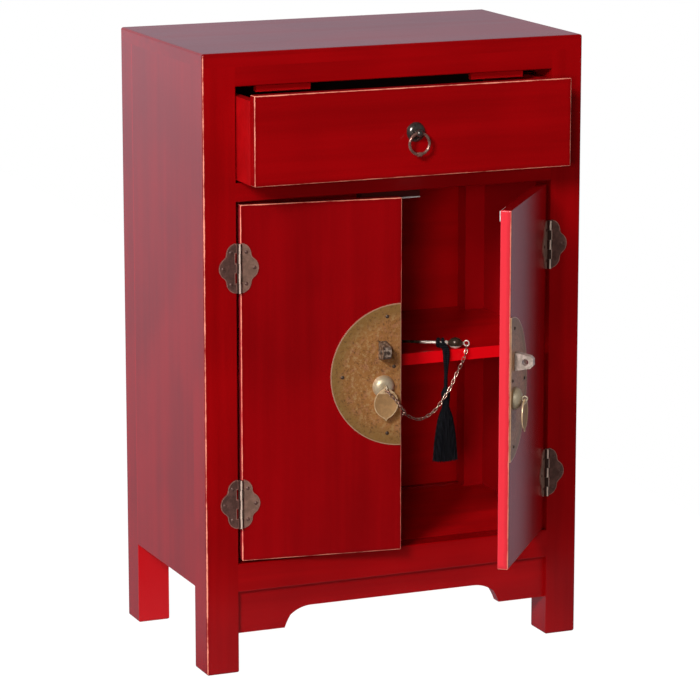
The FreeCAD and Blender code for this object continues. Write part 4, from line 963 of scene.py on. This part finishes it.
cord_thread = twisted_thread("cord_thread", slant=(1, 1, 1), scale=160.0)
cord = thread_curve("tassel_cord_line", CORD_RADIUS, roundness=4)
add_strand(cord, "NURBS", CORD_POINTS)
cord.data.materials.append(cord_thread)
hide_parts("tassel_cord")

# %% Tassel hitch
HITCH_BACK = -0.0042
HITCH_SPREAD = 0.0023
HITCH_RADIUS = 0.0036
STRAND_RADIUS = 0.0018
STRAND_SAG = 0.0006
# Points of a strand: how far beside the cord's middle, how far back, how high
STRAND_PATH = (
    (0.0021, -0.0305, 0.3122), (0.0021, -0.0325, 0.3065),
    (0.0012, -0.0321, 0.2950), (0.0003, -0.0318, 0.2850),
)

along_pin = Matrix.Rotation(PIN_TURN, 3, "Z") @ Vector((1, 0, 0))
hitch_middle = PIN_COLLAR + along_pin * HITCH_BACK
turns = []
strands = thread_curve("tassel_hitch_strands", STRAND_RADIUS, roundness=3)
for side, tilt in ((-1, 6), (1, -7)):
    spot = hitch_middle + along_pin * HITCH_SPREAD * side
    bpy.ops.object.select_all(action="DESELECT")
    bpy.ops.mesh.primitive_torus_add(
        major_radius=HITCH_RADIUS, minor_radius=STRAND_RADIUS, major_segments=40, minor_segments=14,
        location=spot, rotation=(math.radians(tilt), math.radians(90), PIN_TURN))
    turns.append(bpy.context.object)
    spots = [(spot.x, spot.y - HITCH_RADIUS, spot.z - STRAND_SAG)]
    spots += [(CORD_X + side * beside, back, height) for beside, back, height in STRAND_PATH]
    add_strand(strands, "NURBS", spots)
turns.append(as_mesh(strands))
hitch = gathered(turns, "tassel_cord_loop")
bpy.ops.object.transform_apply(location=True, rotation=True, scale=True)
bpy.ops.object.shade_smooth()
hitch.data.materials.append(cord_thread)
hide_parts("tassel_cord")
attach(hitch, "lock_pin")
print("cord of", len(CORD_POINTS), "control points and a hitch of two turns")

# %% [markdown]
# ## The tassel's head
# The head is a bundle of threads bound round and round. A disc is pushed down step by step, each step a
# little wider or narrower than the last, so that the finished head has the ridges of its winding.

# %% Tassel head
HEAD_SHAPE = (
    (0.0, 0.0020), (0.1, 0.0033), (0.3, 0.0049), (0.6, 0.0047), (0.85, 0.0040), (1.0, 0.0038),
)
HEAD_SIDES = 28
WINDING_DEPTH = 0.00022
HEAD_STEPS = 40
head_low, head_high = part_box("tassel_head")
head_middle = (head_low + head_high) / 2


def stepped(rows, share):
    """The value at that share along rows of share and value, on straight lines between them."""
    for (start, first), (end, second) in zip(rows, rows[1:]):
        if share <= end:
            return first + (second - first) * (share - start) / (end - start)
    return rows[-1][1]


radius = stepped(HEAD_SHAPE, 0)
bpy.ops.object.select_all(action="DESELECT")
bpy.ops.mesh.primitive_circle_add(
    vertices=HEAD_SIDES, radius=radius, fill_type="NGON",
    location=(head_middle.x, head_middle.y, head_high.z))
head = bpy.context.object
head.name = "tassel_head_bound"
bpy.ops.object.transform_apply(location=True, rotation=True, scale=True)
bpy.ops.object.mode_set(mode="EDIT")
bpy.ops.mesh.select_all(action="SELECT")
step = (head_high.z - head_low.z) / HEAD_STEPS
for index in range(1, HEAD_STEPS + 1):
    wanted = stepped(HEAD_SHAPE, index / HEAD_STEPS) - WINDING_DEPTH * (index % 2)
    bpy.ops.mesh.extrude_region_move(TRANSFORM_OT_translate={"value": (0, 0, -step)})
    scale = wanted / radius
    middle = (head_middle.x, head_middle.y, head_high.z - step * index)
    bpy.ops.transform.resize(value=(scale, scale, 1), center_override=middle)
    radius = wanted
bpy.ops.mesh.select_all(action="SELECT")
bpy.ops.mesh.normals_make_consistent(inside=False)
bpy.ops.object.mode_set(mode="OBJECT")
bpy.ops.object.shade_smooth()
head.data.materials.append(twisted_thread("head_thread", slant=(0.2, 0.2, 1), scale=330.0))
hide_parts("tassel_head")
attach(head, "lock_pin")
print("tassel head with", len(head.data.polygons), "faces")

# %% [markdown]
# ## The tassel's skirt
# A skirt is a bunch of loose threads. A cone with stripes would look solid, so each thread is drawn: one
# curve with a strand for every thread, each starting under the head and spreading to its own place in a
# flattened oval below. The bevelled curve is then made a mesh.

# %% Tassel skirt
THREADS = 210
THREAD_RADIUS = 0.00050
THREAD_START = 0.0034
THREAD_INSET = 0.0008
SWAY = 0.0006
SHORTEST_CUT = 0.955
SPREAD = ((0.0, 0.0), (0.22, 0.45), (0.42, 0.64), (0.6, 0.78), (0.8, 0.90), (1.0, 1.0))
skirt_low, skirt_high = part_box("tassel_skirt")
skirt_middle = (skirt_low + skirt_high) / 2
skirt_half = (skirt_high - skirt_low) / 2
golden = math.pi * (3 - math.sqrt(5))
dice = random.Random(7)

skirt = thread_curve("tassel_skirt_threads", THREAD_RADIUS, roundness=0)
for index in range(THREADS):
    share = math.sqrt((index + 0.5) / THREADS)
    around = Vector((math.cos(index * golden), math.sin(index * golden), 0)) * share
    start = around * THREAD_START
    end = Vector((around.x * (skirt_half.x - THREAD_INSET), around.y * (skirt_half.y - THREAD_INSET), 0))
    sway = Vector((dice.uniform(-1, 1), dice.uniform(-1, 1), 0)) * SWAY
    cut = dice.uniform(SHORTEST_CUT, 1.0)
    spots = []
    for drop, spread in SPREAD:
        bend = math.sin(drop * math.pi) * (0.6 + 0.4 * share)
        spot = start + (end - start) * spread + sway * bend
        height = skirt_high.z - (skirt_high.z - skirt_low.z) * drop * cut
        spots.append((skirt_middle.x + spot.x, skirt_middle.y + spot.y, height))
    add_strand(skirt, "POLY", spots)
skirt = as_mesh(skirt)
bpy.ops.object.shade_smooth()
skirt_thread = twisted_thread("skirt_thread", slant=(1, 1, 0.04), scale=300.0, bands="X")
skirt.data.materials.append(skirt_thread)
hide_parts("tassel_skirt")
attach(skirt, "lock_pin")
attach(cord, "lock_pin")
print("tassel skirt of", THREADS, "threads and", len(skirt.data.polygons), "faces")
